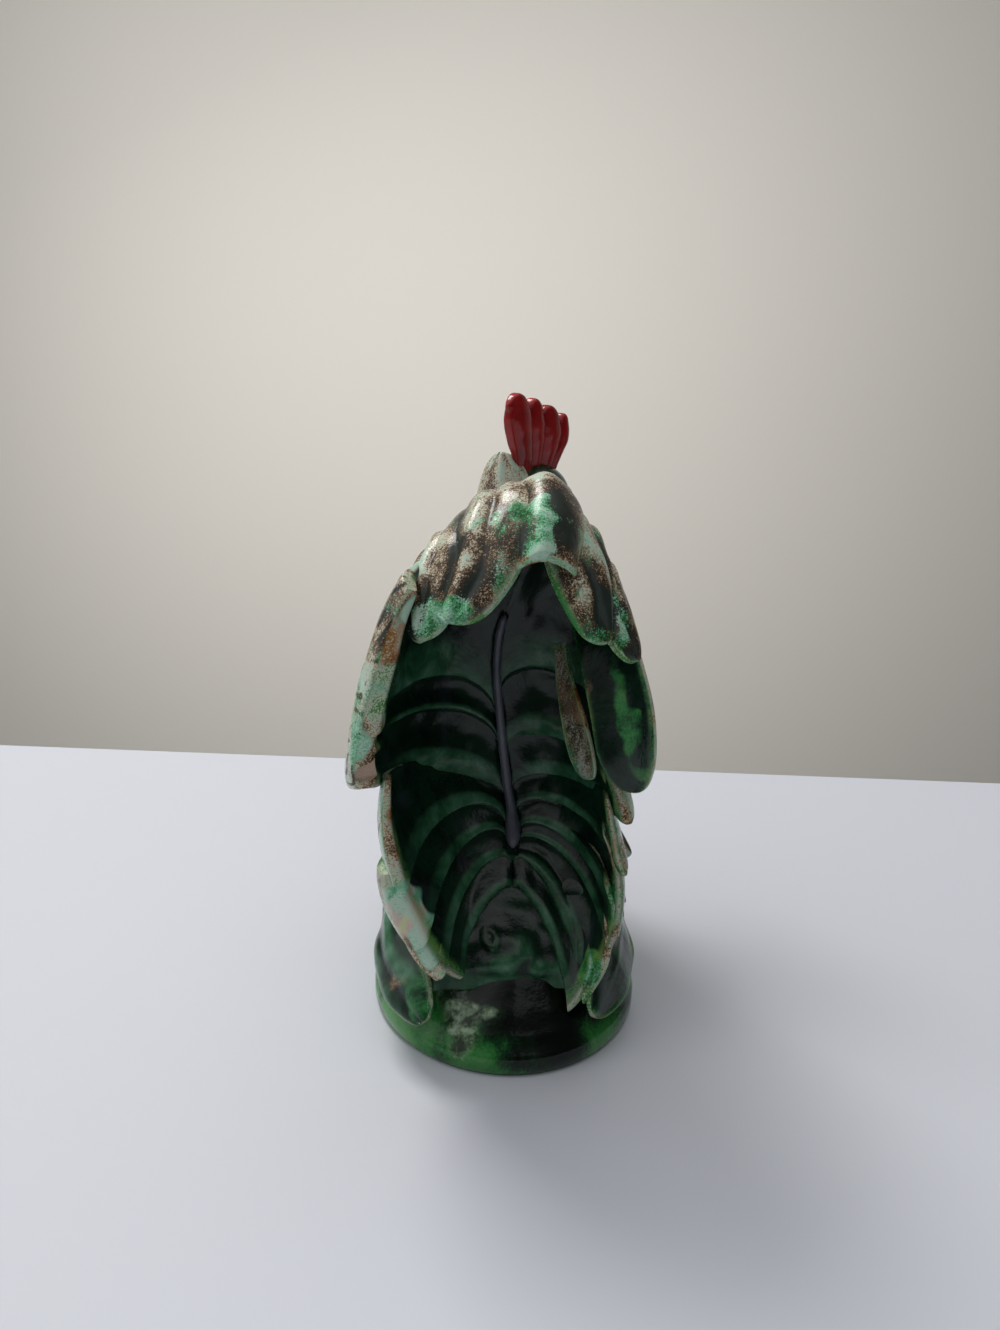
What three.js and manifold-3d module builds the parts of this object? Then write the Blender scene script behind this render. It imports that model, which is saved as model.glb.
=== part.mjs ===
// A glazed ceramic rooster, made as its clay pieces are: each feather, lobe and moulding is one solid.
// Millimetres, +Z up. The bird faces -Y, its left side is +X, and its hollow tail opens towards +Y.
import * as THREE from "three";
import { mergeVertices } from "three/addons/utils/BufferGeometryUtils.js";
import Module from "manifold-3d";

const wasm = await Module();
wasm.setup();

// Joints between neighbouring clay pieces
const CLEARANCE = 0.35;
const SHARPEST = 0.35;
const TUCK = 3;

// Base mound: round behind, drawn out to an oval in front
const BASE_RADIUS = 52;
const BASE_REAR_REACH = 55;
const BASE_FRONT_REACH = 70;
const RIM_HEIGHT = 10;
const MOUND_HEIGHT = 45;
const MOUND_WALL = 7;
const VENT_RADIUS = 8;

// Torso: a hollow egg that stands on the mound
const TORSO_HALF_WIDTH = 38;
const TORSO_HALF_DEPTH = 41;
const TORSO_TOP = 147;
const TORSO_WALL = 6;

// Tail: a leaf-shaped cup with a raised spine
const CUP_FLOOR_Y = 2;
const CUP_RIM_Y = 47;
const SPINE_RADIUS = 1.7;
const SPINE_BULB_RADIUS = 2.8;
const FEATHER_THICKNESS = 5;
const RIM_THICKNESS = 7;
const SHINGLE_STEP = 2.2;
const RIB_RELIEF = 3.4;
const SKIRT_RELIEF = 2.5;
const ARCH_SKEW = 0.55;
const CROWN_HEIGHT = 213;
const CROWN_HALF_WIDTH = 15;
const CROWN_THICKNESS = 9;
const LOBE_THICKNESS = 7;
const LEAF_THICKNESS = 4;

// Neck, head and its trimmings
const NECK_FOOT = new THREE.Vector3(-1, -62, 112);
const NECK_FOOT_RADIUS = 26;
const NECK_TOP_RADIUS = 14;
const HEAD_TURN = THREE.MathUtils.degToRad(38);
const HEAD_HALF_LENGTH = 17;
const HEAD_HALF_WIDTH = 14;
const HEAD_HALF_HEIGHT = 14;
const HEAD_PLACE = new THREE.Vector3(-14, -92, 184);
const HACKLE_THICKNESS = 6;
const COMB_LENGTH = 47.5;
const COMB_HEIGHT = 40;
const COMB_THICKNESS = 9;
const COMB_SEAT = 0.518;
const COMB_LOBES = 4;
const BEAK_LENGTH = 15;
const BEAK_HALF_WIDTH = 5.5;
const WATTLE_LENGTH = 22;
const WATTLE_HALF_WIDTH = 7;
const WATTLE_THICKNESS = 5;
const EARLOBE_RADIUS = 5.5;
const EYE_RADIUS = 2.6;

// Wings, legs and the leaves on the mound
const WING_THICKNESS = 8;
const FLIGHT_THICKNESS = 6;
const THIGH_HALF_WIDTH = 15;
const THIGH_THICKNESS = 12;
const TOE_RADIUS = 4;
const TOE_LENGTH = 19;
const SHANK_RADIUS = 5;
const MOUND_LEAF_THICKNESS = 6;

// Facets
const BLADE_STEPS = 6;
const BLADE_COLUMNS = 4;
const RING_SIDES = 20;

const vec = (x, y, z) => new THREE.Vector3(x, y, z);
const mix = THREE.MathUtils.lerp;
const smooth = THREE.MathUtils.smoothstep;
const UP = vec(0, 0, 1);

// Glazes and clay
function glaze(color, roughness = 0.18) {
  return new THREE.MeshStandardMaterial({ color, roughness, metalness: 0 });
}
const MOTTLED = 0x7c8f74;
const DARK_GREEN = 0x12382a;
const MINT = 0x8fcfae;
const GREEN = 0x2f7a48;
const RED = 0x8c1717;
const RUST = 0x6b4a3c;
const CREAM = 0xcbbfae;
const OCHRE = 0xb98a3c;
const BLACK = 0x141414;

// A smooth function of t from 0 to 1 through values that are spaced evenly.
function through(values) {
  return (t) => {
    const place = THREE.MathUtils.clamp(t, 0, 1) * (values.length - 1);
    const i = Math.min(Math.floor(place), values.length - 2);
    const f = place - i;
    const at = (k) => values[THREE.MathUtils.clamp(k, 0, values.length - 1)];
    const a = at(i - 1);
    const b = at(i);
    const c = at(i + 1);
    const d = at(i + 2);
    const m0 = (c - a) / 2;
    const m1 = (d - b) / 2;
    const f2 = f * f;
    const f3 = f2 * f;
    return b * (2 * f3 - 3 * f2 + 1) + m0 * (f3 - 2 * f2 + f) + c * (3 * f2 - 2 * f3) + m1 * (f3 - f2);
  };
}

// The same through points.
function pathThrough(points) {
  const x = through(points.map((p) => p.x));
  const y = through(points.map((p) => p.y));
  const z = through(points.map((p) => p.z));
  return (t) => vec(x(t), y(t), z(t));
}

function geometryOf(positions, index) {
  const geometry = new THREE.BufferGeometry();
  geometry.setAttribute("position", new THREE.Float32BufferAttribute(positions, 3));
  geometry.setIndex(index);
  return geometry;
}

// Six times the signed volume of a closed mesh: negative when its faces point inwards.
function signedVolume(points, index) {
  let sum = 0;
  for (let i = 0; i < index.length; i += 3) {
    const [a, b, c] = [points[index[i]], points[index[i + 1]], points[index[i + 2]]];
    sum += a.dot(b.clone().cross(c));
  }
  return sum;
}

function closedMesh(points, index) {
  if (signedVolume(points, index) < 0) {
    for (let i = 0; i < index.length; i += 3) {
      [index[i + 1], index[i + 2]] = [index[i + 2], index[i + 1]];
    }
  }
  return geometryOf(
    points.flatMap((p) => [p.x, p.y, p.z]),
    index,
  );
}

// A closed solid between two sheets of points of equal rows and columns, joined round their edges.
function solidBetween(inner, outer) {
  const rows = inner.length;
  const columns = inner[0].length;
  const points = [...inner.flat(), ...outer.flat()];
  const index = [];
  const a = (i, j) => i * columns + j;
  const b = (i, j) => rows * columns + i * columns + j;
  const quad = (p, q, r, s) => index.push(p, q, r, p, r, s);
  for (let i = 0; i < rows - 1; i++) {
    for (let j = 0; j < columns - 1; j++) {
      quad(a(i, j), a(i + 1, j), a(i + 1, j + 1), a(i, j + 1));
      quad(b(i, j), b(i, j + 1), b(i + 1, j + 1), b(i + 1, j));
    }
    quad(a(i, 0), b(i, 0), b(i + 1, 0), a(i + 1, 0));
    quad(a(i, columns - 1), a(i + 1, columns - 1), b(i + 1, columns - 1), b(i, columns - 1));
  }
  for (let j = 0; j < columns - 1; j++) {
    quad(a(0, j), a(0, j + 1), b(0, j + 1), b(0, j));
    quad(a(rows - 1, j), b(rows - 1, j), b(rows - 1, j + 1), a(rows - 1, j + 1));
  }
  return closedMesh(points, index);
}

// A closed solid through rings of equal count. Each end is closed by a fan, or both ends meet when looped.
function loft(rings, looped = false) {
  const sides = rings[0].length;
  const points = rings.flat();
  const index = [];
  const at = (i, j) => (i % rings.length) * sides + (j % sides);
  for (let i = 0; i < (looped ? rings.length : rings.length - 1); i++) {
    for (let j = 0; j < sides; j++) {
      index.push(at(i, j), at(i + 1, j), at(i + 1, j + 1), at(i, j), at(i + 1, j + 1), at(i, j + 1));
    }
  }
  if (!looped) {
    for (const [i, flip] of [
      [0, false],
      [rings.length - 1, true],
    ]) {
      const centre = rings[i].reduce((sum, p) => sum.add(p), vec(0, 0, 0)).divideScalar(sides);
      points.push(centre);
      for (let j = 0; j < sides; j++) {
        const edge = flip ? [at(i, j + 1), at(i, j)] : [at(i, j), at(i, j + 1)];
        index.push(points.length - 1, ...edge);
      }
    }
  }
  return closedMesh(points, index);
}

// A vessel open at its foot: the outer rings rise to a closed top and the inner rings come down again.
function loftVessel(outer, inner) {
  const sides = outer[0].length;
  const rings = [...outer, ...inner];
  const points = rings.flat();
  const index = [];
  const at = (i, j) => (i % rings.length) * sides + (j % sides);
  const crest = outer.length - 1;
  for (let i = 0; i < rings.length; i++) {
    if (i === crest) continue;
    for (let j = 0; j < sides; j++) {
      index.push(at(i, j), at(i + 1, j), at(i + 1, j + 1), at(i, j), at(i + 1, j + 1), at(i, j + 1));
    }
  }
  for (const [i, flip] of [
    [crest, true],
    [crest + 1, false],
  ]) {
    const centre = rings[i].reduce((sum, p) => sum.add(p), vec(0, 0, 0)).divideScalar(sides);
    points.push(centre);
    for (let j = 0; j < sides; j++) {
      const edge = flip ? [at(i, j + 1), at(i, j)] : [at(i, j), at(i, j + 1)];
      index.push(points.length - 1, ...edge);
    }
  }
  return closedMesh(points, index);
}

// A level ring of superellipse shape about a centre.
function ring(centre, halfWidth, halfDepth, power = 2, sides = RING_SIDES) {
  return Array.from({ length: sides }, (_, i) => {
    const angle = (2 * Math.PI * i) / sides;
    const c = Math.cos(angle);
    const s = Math.sin(angle);
    const x = Math.sign(c) * Math.abs(c) ** (2 / power) * halfWidth;
    const y = Math.sign(s) * Math.abs(s) ** (2 / power) * halfDepth;
    return vec(centre.x + x, centre.y + y, centre.z);
  });
}

// A leaf along a path: it widens, is crowned across and rounds off at its tip.
// facing(t) is the outward direction of its face; widths are half widths spaced evenly along it.
function blade({ path, widths, facing, thickness, crown = 0.25, tip = 0.25 }) {
  const line = pathThrough(path);
  const halfWidth = through(widths);
  const inner = [];
  const outer = [];
  for (let i = 0; i <= BLADE_STEPS; i++) {
    const t = 1 - (1 - i / BLADE_STEPS) ** 1.3;
    const place = line(t);
    const along = line(Math.min(t + 0.01, 1)).sub(line(Math.max(t - 0.01, 0))).normalize();
    const out = facing(t).normalize();
    const side = along.clone().cross(out).normalize();
    out.copy(side).cross(along).normalize();
    const nearTip = THREE.MathUtils.clamp(1 - (1 - t) / tip, 0, 1);
    const round = Math.max(Math.sqrt(1 - nearTip ** 2), 0.3);
    const w = halfWidth(t) * round;
    const half = (thickness / 2) * mix(1, 0.55, nearTip ** 2);
    const rowIn = [];
    const rowOut = [];
    for (let j = 0; j <= BLADE_COLUMNS; j++) {
      const s = (2 * j) / BLADE_COLUMNS - 1;
      const middle = place.clone().addScaledVector(side, s * w).addScaledVector(out, -crown * w * s * s);
      const edge = half * (1 - 0.45 * s * s);
      rowOut.push(middle.clone().addScaledVector(out, edge));
      rowIn.push(middle.clone().addScaledVector(out, -edge));
    }
    inner.push(rowIn);
    outer.push(rowOut);
  }
  return solidBetween(inner, outer);
}

function toSolid(geometry) {
  const bare = mergeVertices(geometry, 1e-4);
  return new wasm.Manifold(
    new wasm.Mesh({
      numProp: 3,
      vertProperties: new Float32Array(bare.attributes.position.array),
      triVerts: new Uint32Array(bare.index.array),
    }),
  );
}

function toGeometry(solid) {
  const mesh = solid.getMesh();
  return geometryOf(Array.from(mesh.vertProperties), Array.from(mesh.triVerts));
}

// The same shape made larger all round by the clearance, to cut its seat in a neighbour.
function grown(geometry) {
  const bare = mergeVertices(geometry, 1e-4);
  const place = bare.attributes.position;
  const corners = Array.from({ length: place.count }, (_, i) => vec(0, 0, 0).fromBufferAttribute(place, i));
  const faces = corners.map(() => []);
  const index = bare.index.array;
  for (let i = 0; i < index.length; i += 3) {
    const three = [index[i], index[i + 1], index[i + 2]];
    const [a, b, c] = three.map((k) => corners[k]);
    const normal = b.clone().sub(a).cross(c.clone().sub(a)).normalize();
    three.forEach((k, n) => {
      const toNext = corners[three[(n + 1) % 3]].clone().sub(corners[k]);
      const toLast = corners[three[(n + 2) % 3]].clone().sub(corners[k]);
      faces[k].push({ normal, angle: toNext.angleTo(toLast) });
    });
  }
  corners.forEach((corner, i) => {
    const out = vec(0, 0, 0);
    for (const { normal, angle } of faces[i]) out.addScaledVector(normal, angle);
    out.normalize();
    const least = Math.min(...faces[i].map(({ normal }) => normal.dot(out)));
    const moved = corner.clone().addScaledVector(out, CLEARANCE / Math.max(least, SHARPEST));
    place.setXYZ(i, moved.x, moved.y, moved.z);
  });
  return toSolid(bare);
}

// The torso's middle stands in front of the cup, with room for the feathers between them.
const TORSO_Y = CUP_FLOOR_Y - FEATHER_THICKNESS - 4 - TORSO_HALF_DEPTH;

const group = new THREE.Group();
const seated = [];

// Adds one piece. It is cut back by each piece before it, and keeps its largest body.
// A hollow piece gives its filled shape as the block, so that no later piece enters its hollow.
function add(name, geometry, color, roughness, block = geometry) {
  geometry.computeBoundingBox();
  const box = geometry.boundingBox.clone().expandByScalar(2 * CLEARANCE);
  let solid = toSolid(geometry);
  for (const other of seated) {
    if (box.intersectsBox(other.box)) solid = solid.subtract(other.cutter);
  }
  const bodies = solid.decompose().sort((p, q) => q.volume() - p.volume());
  const mesh = new THREE.Mesh(toGeometry(bodies[0]), glaze(color, roughness));
  mesh.name = name;
  group.add(mesh);
  seated.push({ box, cutter: grown(block) });
}

// Base mound
// The height of the mound's skin at a share of its radius, and the share at a place on it.
const moundProfile = through([1, 0.995, 0.93, 0.78, 0.5, 0.22].map((k) => k * MOUND_HEIGHT));
function moundScaleY(y) {
  return (y < 0 ? BASE_FRONT_REACH : BASE_REAR_REACH) / BASE_RADIUS;
}
function moundHeight(x, y) {
  const share = Math.hypot(x, y / moundScaleY(y)) / BASE_RADIUS;
  return Math.max(moundProfile(Math.min(share, 1)), RIM_HEIGHT);
}

const MOUND_EDGE = 1.5;
const MOUND_SKIN = [
  [BASE_RADIUS - MOUND_EDGE, 0],
  [BASE_RADIUS, 2 * MOUND_EDGE],
  [BASE_RADIUS, RIM_HEIGHT - 2 * MOUND_EDGE],
  [BASE_RADIUS - MOUND_EDGE, RIM_HEIGHT],
  ...[0.93, 0.86, 0.75, 0.6, 0.4, 0.2].map((share) => [
    share * BASE_RADIUS,
    Math.max(moundProfile(share), RIM_HEIGHT + MOUND_EDGE),
  ]),
];
const MOUND_HOLLOW = [
  [BASE_RADIUS - MOUND_WALL, 0],
  [BASE_RADIUS - MOUND_WALL, RIM_HEIGHT - 2 * MOUND_EDGE],
  ...[0.7, 0.55, 0.3].map((share) => [share * BASE_RADIUS, moundProfile(share) - 1.4 * MOUND_WALL]),
];
const moundLevel = ([radius, z]) =>
  ring(vec(0, 0, z), radius, radius, 2, 30).map((p) => vec(p.x, p.y * moundScaleY(p.y), p.z));

function baseMound() {
  const shell = loftVessel(MOUND_SKIN.map(moundLevel), MOUND_HOLLOW.map(moundLevel).reverse());
  const vent = [0, MOUND_HEIGHT].map((z) => ring(vec(0, TORSO_Y, z), VENT_RADIUS, VENT_RADIUS, 2, 12));
  return toGeometry(toSolid(shell).subtract(toSolid(loft(vent))));
}
add("base_mound", baseMound(), GREEN, 0.18, loft(MOUND_SKIN.map(moundLevel)));

// Torso: its shares of width and depth, and how far its middle leans back, from its foot up
const TORSO_FOOT = moundHeight(0, TORSO_Y - 13) - TUCK;
const torsoWidth = through([0.3, 0.72, 0.93, 1, 1, 0.97, 0.86, 0.62, 0.12]);
const torsoDepth = through([0.3, 0.74, 0.95, 1.01, 1, 0.96, 0.86, 0.62, 0.14]);
const torsoLean = through([0, 0, 0, -1, -1, 0, 2, 6, 9]);

function torsoRing(t, inset) {
  const depth = TORSO_HALF_DEPTH * torsoDepth(t) - inset;
  const width = TORSO_HALF_WIDTH * torsoWidth(t) - inset;
  const centreY = TORSO_Y + torsoLean(t);
  const top = TORSO_TOP - inset;
  return ring(vec(0, centreY, mix(TORSO_FOOT, top, t)), Math.max(width, 2), Math.max(depth, 2), 2.2, 16);
}
const TORSO_STEPS = Array.from({ length: 8 }, (_, i) => i / 7);
const torsoSkin = TORSO_STEPS.map((t) => torsoRing(t, 0));
const torsoHollow = TORSO_STEPS.map((t) => torsoRing(t, TORSO_WALL)).reverse();
add("torso", loftVessel(torsoSkin, torsoHollow), MOTTLED, 0.18, loft(torsoSkin));

// The torso's half width at a height and a distance along the bird.
function torsoSide(y, z) {
  const t = THREE.MathUtils.clamp((z - TORSO_FOOT) / (TORSO_TOP - TORSO_FOOT), 0, 1);
  const centreY = TORSO_Y + torsoLean(t);
  const share = THREE.MathUtils.clamp((y - centreY) / (TORSO_HALF_DEPTH * torsoDepth(t)), -0.95, 0.95);
  return TORSO_HALF_WIDTH * torsoWidth(t) * (1 - Math.abs(share) ** 2.2) ** (1 / 2.2);
}

// Tail spine: where the cup's middle runs, from the skirt over the mound up to the crown
const CUP_FOOT = 34;
const CUP_TOP = 184;
const SPINE_HEAD = 160;
const SPINE_END = 70;
const spineX = through([1.5, 1.3, 0, 0, 2.4, 4.5, 6.3, 7.7, 7, 3, 0]);
const spineY = through([37, 26, 13.5, 5, 2, 0.5, 0, 0, 1.2, 5, 12]);
function spineAt(z) {
  const t = (z - CUP_FOOT) / (CUP_TOP - CUP_FOOT);
  return vec(spineX(t), CUP_FLOOR_Y + spineY(t), z);
}

function tailSpine() {
  const steps = 14;
  const rings = [];
  for (let i = 0; i <= steps; i++) {
    const t = i / steps;
    const centre = spineAt(mix(SPINE_HEAD, SPINE_END, t));
    const bulb = Math.exp(-(((t - 0.93) / 0.05) ** 2));
    const radius = mix(0.75, 1.15, t) * SPINE_RADIUS + bulb * (SPINE_BULB_RADIUS - SPINE_RADIUS);
    rings.push(ring(centre, radius, radius * 1.4, 2, 8));
  }
  return loft(rings);
}
add("tail_spine", tailSpine(), DARK_GREEN, 0.08);

// Crown feather: the domed top of the hood, from the bird's back over the ridge to the lip
function crown() {
  const top = CROWN_HEIGHT;
  const outerLine = pathThrough([
    vec(0, -30, top - 64),
    vec(-1, -22, top - 38),
    vec(-3, -6, top - 11),
    vec(-4, 14, top),
    vec(-4, 31, top - 4),
    vec(-2, CUP_RIM_Y + 2, top - 18),
  ]);
  const innerLine = pathThrough([
    vec(0, -14, top - 63),
    vec(-1, -6, top - 47),
    vec(-3, 6, top - 29),
    vec(-4, 19, top - 20),
    vec(-4, 33, top - 18),
    vec(-2, CUP_RIM_Y, top - 17 - CROWN_THICKNESS * 0.7),
  ]);
  const spans = through([0.95, 1, 1.05, 1, 0.95, 0.8]);
  const inner = [];
  const outer = [];
  for (let i = 0; i <= 9; i++) {
    const t = i / 9;
    const place = outerLine(t);
    const under = innerLine(t);
    const along = outerLine(Math.min(t + 0.01, 1)).sub(outerLine(Math.max(t - 0.01, 0))).normalize();
    const side = vec(1, 0, 0);
    const out = side.clone().cross(along).normalize();
    if (out.z < 0) out.negate();
    const rowIn = [];
    const rowOut = [];
    for (let j = 0; j <= 6; j++) {
      const s = j / 3 - 1;
      const reach = s * CROWN_HALF_WIDTH * spans(t);
      const fall = CROWN_HALF_WIDTH * s * s;
      rowOut.push(place.clone().addScaledVector(side, reach).addScaledVector(out, -0.75 * fall));
      rowIn.push(under.clone().addScaledVector(side, 0.84 * reach).addScaledVector(out, -0.5 * fall));
    }
    inner.push(rowIn);
    outer.push(rowOut);
  }
  return solidBetween(inner, outer);
}
add("tail_crown_feather", crown(), MOTTLED);

// Upper lobes: each side has an inner and an outer feather that run back from the saddle to the eaves
const hoodFacing = (aside, behind) => (t) =>
  vec(Math.sign(aside) * mix(0.35, Math.abs(aside), t), mix(-1, behind, smooth(t, 0.1, 1)), 0.8);
const UPPER_LOBES = [
  {
    name: "tail_upper_left_inner",
    path: [vec(8, -26, 148), vec(10, -14, 178), vec(13, 8, 201), vec(18, 30, 196), vec(27, 49, 171)],
    widths: [12, 15, 17, 18, 12],
    aside: 0.6,
    behind: 0.8,
  },
  {
    name: "tail_upper_left_outer",
    path: [vec(20, -24, 140), vec(24, -10, 170), vec(28, 12, 188), vec(33, 30, 182), vec(36, 46, 164)],
    widths: [12, 13, 14, 13, 10],
    aside: 1,
    behind: 0.6,
  },
  {
    name: "tail_upper_right_inner",
    path: [vec(-9, -26, 148), vec(-14, -14, 174), vec(-17, 8, 194), vec(-17, 29, 190), vec(-24, 47, 164)],
    widths: [12, 13, 14, 15, 10],
    aside: -0.7,
    behind: 0.9,
  },
  {
    name: "tail_upper_right_outer",
    path: [vec(-18, -24, 140), vec(-22, -8, 164), vec(-26, 12, 179), vec(-29, 27, 173), vec(-34, 42, 156)],
    widths: [12, 13, 13, 12, 8],
    aside: -1.2,
    behind: 0.6,
  },
];
for (const lobe of UPPER_LOBES) {
  const facing = hoodFacing(lobe.aside, lobe.behind);
  add(lobe.name, blade({ ...lobe, facing, thickness: LOBE_THICKNESS, tip: 0.2 }), MOTTLED);
}

// Right side's two free leaves: the large outer one and the narrow one inside it
const RIGHT_LEAVES = [
  {
    name: "tail_right_main_feather",
    path: [vec(-21, 8, 180), vec(-28, 22, 162), vec(-33, 34, 143), vec(-36, 41, 125), vec(-37, 45, 110)],
    widths: [10, 11, 12, 11, 8],
    facing: () => vec(-0.75, -1, 0.1),
    thickness: LOBE_THICKNESS,
    crown: 0.35,
  },
  {
    name: "tail_right_inner_leaf",
    path: [vec(-13, 17, 154), vec(-16, 22, 140), vec(-20, 28, 126), vec(-24, 35, 110)],
    widths: [2, 3.5, 5, 4.5],
    facing: () => vec(-0.8, -1, 0),
    thickness: LEAF_THICKNESS,
    crown: 0.2,
  },
];
for (const leaf of RIGHT_LEAVES) {
  add(leaf.name, blade(leaf), MINT);
}

// Rump: the clay between the torso, the mound and the backs of the cup's feathers
const CUP_HALF_LEFT = 52;
const CUP_HALF_RIGHT = 40;
const BED_DEPTH = 7;
const BED_DEPTH_AT_FOOT = 2;
const RUMP_HALF_WIDTH = 31;
function rump() {
  const levels = [26, 40, 50, 62, 76, 105, 135, 160];
  const halfWidth = through([0.97, 1, 1, 1, 1, 0.97, 0.84, 0.58].map((share) => share * RUMP_HALF_WIDTH));
  const front = TORSO_Y + TORSO_HALF_DEPTH - 24;
  const rings = levels.map((z, i) => {
    const half = halfWidth(i / (levels.length - 1));
    const spine = spineAt(z).y;
    const bed = spine - mix(BED_DEPTH_AT_FOOT, BED_DEPTH, smooth(z, 58, 74));
    const row = [];
    for (let j = 0; j <= 4; j++) {
      const x = (j / 2 - 1) * half;
      const bend = 1 - Math.sqrt(1 - (x / (x > 0 ? CUP_HALF_LEFT : CUP_HALF_RIGHT)) ** 2);
      row.push(vec(x, bed + (CUP_FLOOR_Y + CUP_RIM_Y - spine) * bend, z));
    }
    for (const [share, inset] of [
      [1, 14],
      [0.8, 3],
      [0, 0],
      [-0.8, 3],
      [-1, 14],
    ]) {
      row.push(vec(share * half, front + inset, z));
    }
    return row;
  });
  return loft(rings);
}
add("rump", rump(), DARK_GREEN, 0.1);

// Cup feathers. Each is the strip between two ribs: it leaves the spine between the heights "from" and
// ends on its rim, given as an upper, middle and lower point. Its ribs arch by "arch" on the way, most of
// it near the spine.
// "ridges" are further ribs inside the strip, as shares of its height.
const CUP_FEATHERS = [
  {
    name: "tail_left_main_feather",
    from: [182, 91],
    arch: [5, 10, 15, 11.5, 8.5],
    rim: [vec(36, -3, 174), vec(48, 3, 141), vec(51, 0, 113)],
    ridges: [0, 0.68, 0.79, 1],
    color: MINT,
  },
  {
    name: "tail_left_feather_2",
    from: [91, 78],
    arch: [8.5, 11],
    rim: [vec(43, -3, 112), vec(42, 0, 93), vec(38, 1, 74)],
    ridges: [0, 1],
    rimThickness: 5.5,
    color: DARK_GREEN,
  },
  {
    name: "tail_left_feather_3",
    from: [78, 73],
    arch: [11, 7],
    rim: [vec(40, 0, 80), vec(37, 1, 67), vec(31, 3, 55)],
    ridges: [0, 1],
    color: MINT,
  },
  {
    name: "tail_left_feather_4",
    from: [73, 67],
    arch: [7, 3],
    rim: [vec(34, 0, 60), vec(30, 1, 51), vec(25, 2, 43)],
    ridges: [0, 1],
    color: MINT,
  },
  {
    name: "tail_left_feather_5",
    from: [67, 60],
    arch: [3, 0],
    rim: [vec(26, 0, 48), vec(22, 0, 42), vec(18, -1, 38)],
    ridges: [0, 1],
    rimThickness: 6,
    color: DARK_GREEN,
  },
  {
    name: "tail_right_feather_1",
    from: [182, 109],
    arch: [5, 9, 7],
    rim: [vec(-24, -20, 172), vec(-29, -17, 138), vec(-27, -15, 110)],
    ridges: [0, 0.71, 1],
    color: DARK_GREEN,
  },
  {
    name: "tail_right_feather_2",
    from: [109, 92],
    arch: [7, 6],
    rim: [vec(-26, -13, 114), vec(-30, -8, 107), vec(-32, -3, 99)],
    ridges: [0, 1],
    rimThickness: 6,
    color: DARK_GREEN,
  },
  {
    name: "tail_right_feather_3",
    from: [92, 83],
    arch: [6, 6],
    rim: [vec(-28, -7, 105), vec(-31, -3, 95), vec(-32, -1, 83)],
    ridges: [0, 1],
    rimThickness: 4,
    color: MINT,
  },
  {
    name: "tail_right_feather_4",
    from: [83, 76],
    arch: [6, 5.5],
    rim: [vec(-29, -3, 90), vec(-32, -1, 75), vec(-31, 0, 59)],
    ridges: [0, 1],
    rimThickness: 4,
    color: MOTTLED,
  },
  {
    name: "tail_right_feather_5",
    from: [76, 72.5],
    arch: [5.5, 4],
    rim: [vec(-29, -2, 70), vec(-31, 0, 60), vec(-30, 1, 51)],
    ridges: [0, 1],
    rimThickness: 4,
    color: MOTTLED,
  },
  {
    name: "tail_right_feather_6",
    from: [72.5, 67],
    arch: [4, 2],
    rim: [vec(-29, 0, 55), vec(-28, 1, 42), vec(-23, 2, 29)],
    ridges: [0, 1],
    rimThickness: 4,
    color: DARK_GREEN,
  },
  {
    name: "tail_right_feather_7",
    from: [67, 60],
    arch: [2, 0],
    rim: [vec(-25, -1, 40), vec(-22, 1, 32), vec(-18, 3, 26)],
    ridges: [0, 1],
    rimThickness: 5,
    color: MINT,
  },
];

// A point of a strip's inner face: s across it from the upper to the lower rib, t from the spine to the rim.
function stripPoint(feather, s, t) {
  const side = Math.sign(feather.rim[0].x);
  const start = spineAt(mix(feather.from[0], feather.from[1], s));
  start.x += side * SPINE_RADIUS;
  const [upper, middle, lower] = feather.rim;
  const end = vec(0, 0, 0)
    .addScaledVector(upper, (1 - s) * (1 - 2 * s))
    .addScaledVector(middle, 4 * s * (1 - s))
    .addScaledVector(lower, s * (2 * s - 1));
  end.y += CUP_RIM_Y;
  const angle = (t * Math.PI) / 2;
  const arch = through(feather.arch)(s) * Math.sin(Math.PI * t ** ARCH_SKEW);
  const z = mix(start.z, end.z, t ** 1.3) + arch;
  const skirt = spineAt(z).y + SKIRT_RELIEF * (1 - smooth(z, 60, 76));
  return vec(
    mix(start.x, end.x, Math.sin(angle) ** 0.95),
    Math.max(mix(start.y, end.y, 1 - Math.cos(angle)), skirt),
    z,
  );
}

// How far the strip's face sinks between its ribs at s.
function trough(ridges, s) {
  for (let i = 1; i < ridges.length; i++) {
    if (s <= ridges[i]) return Math.sin((Math.PI * (s - ridges[i - 1])) / (ridges[i] - ridges[i - 1]));
  }
  return 0;
}

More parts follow.
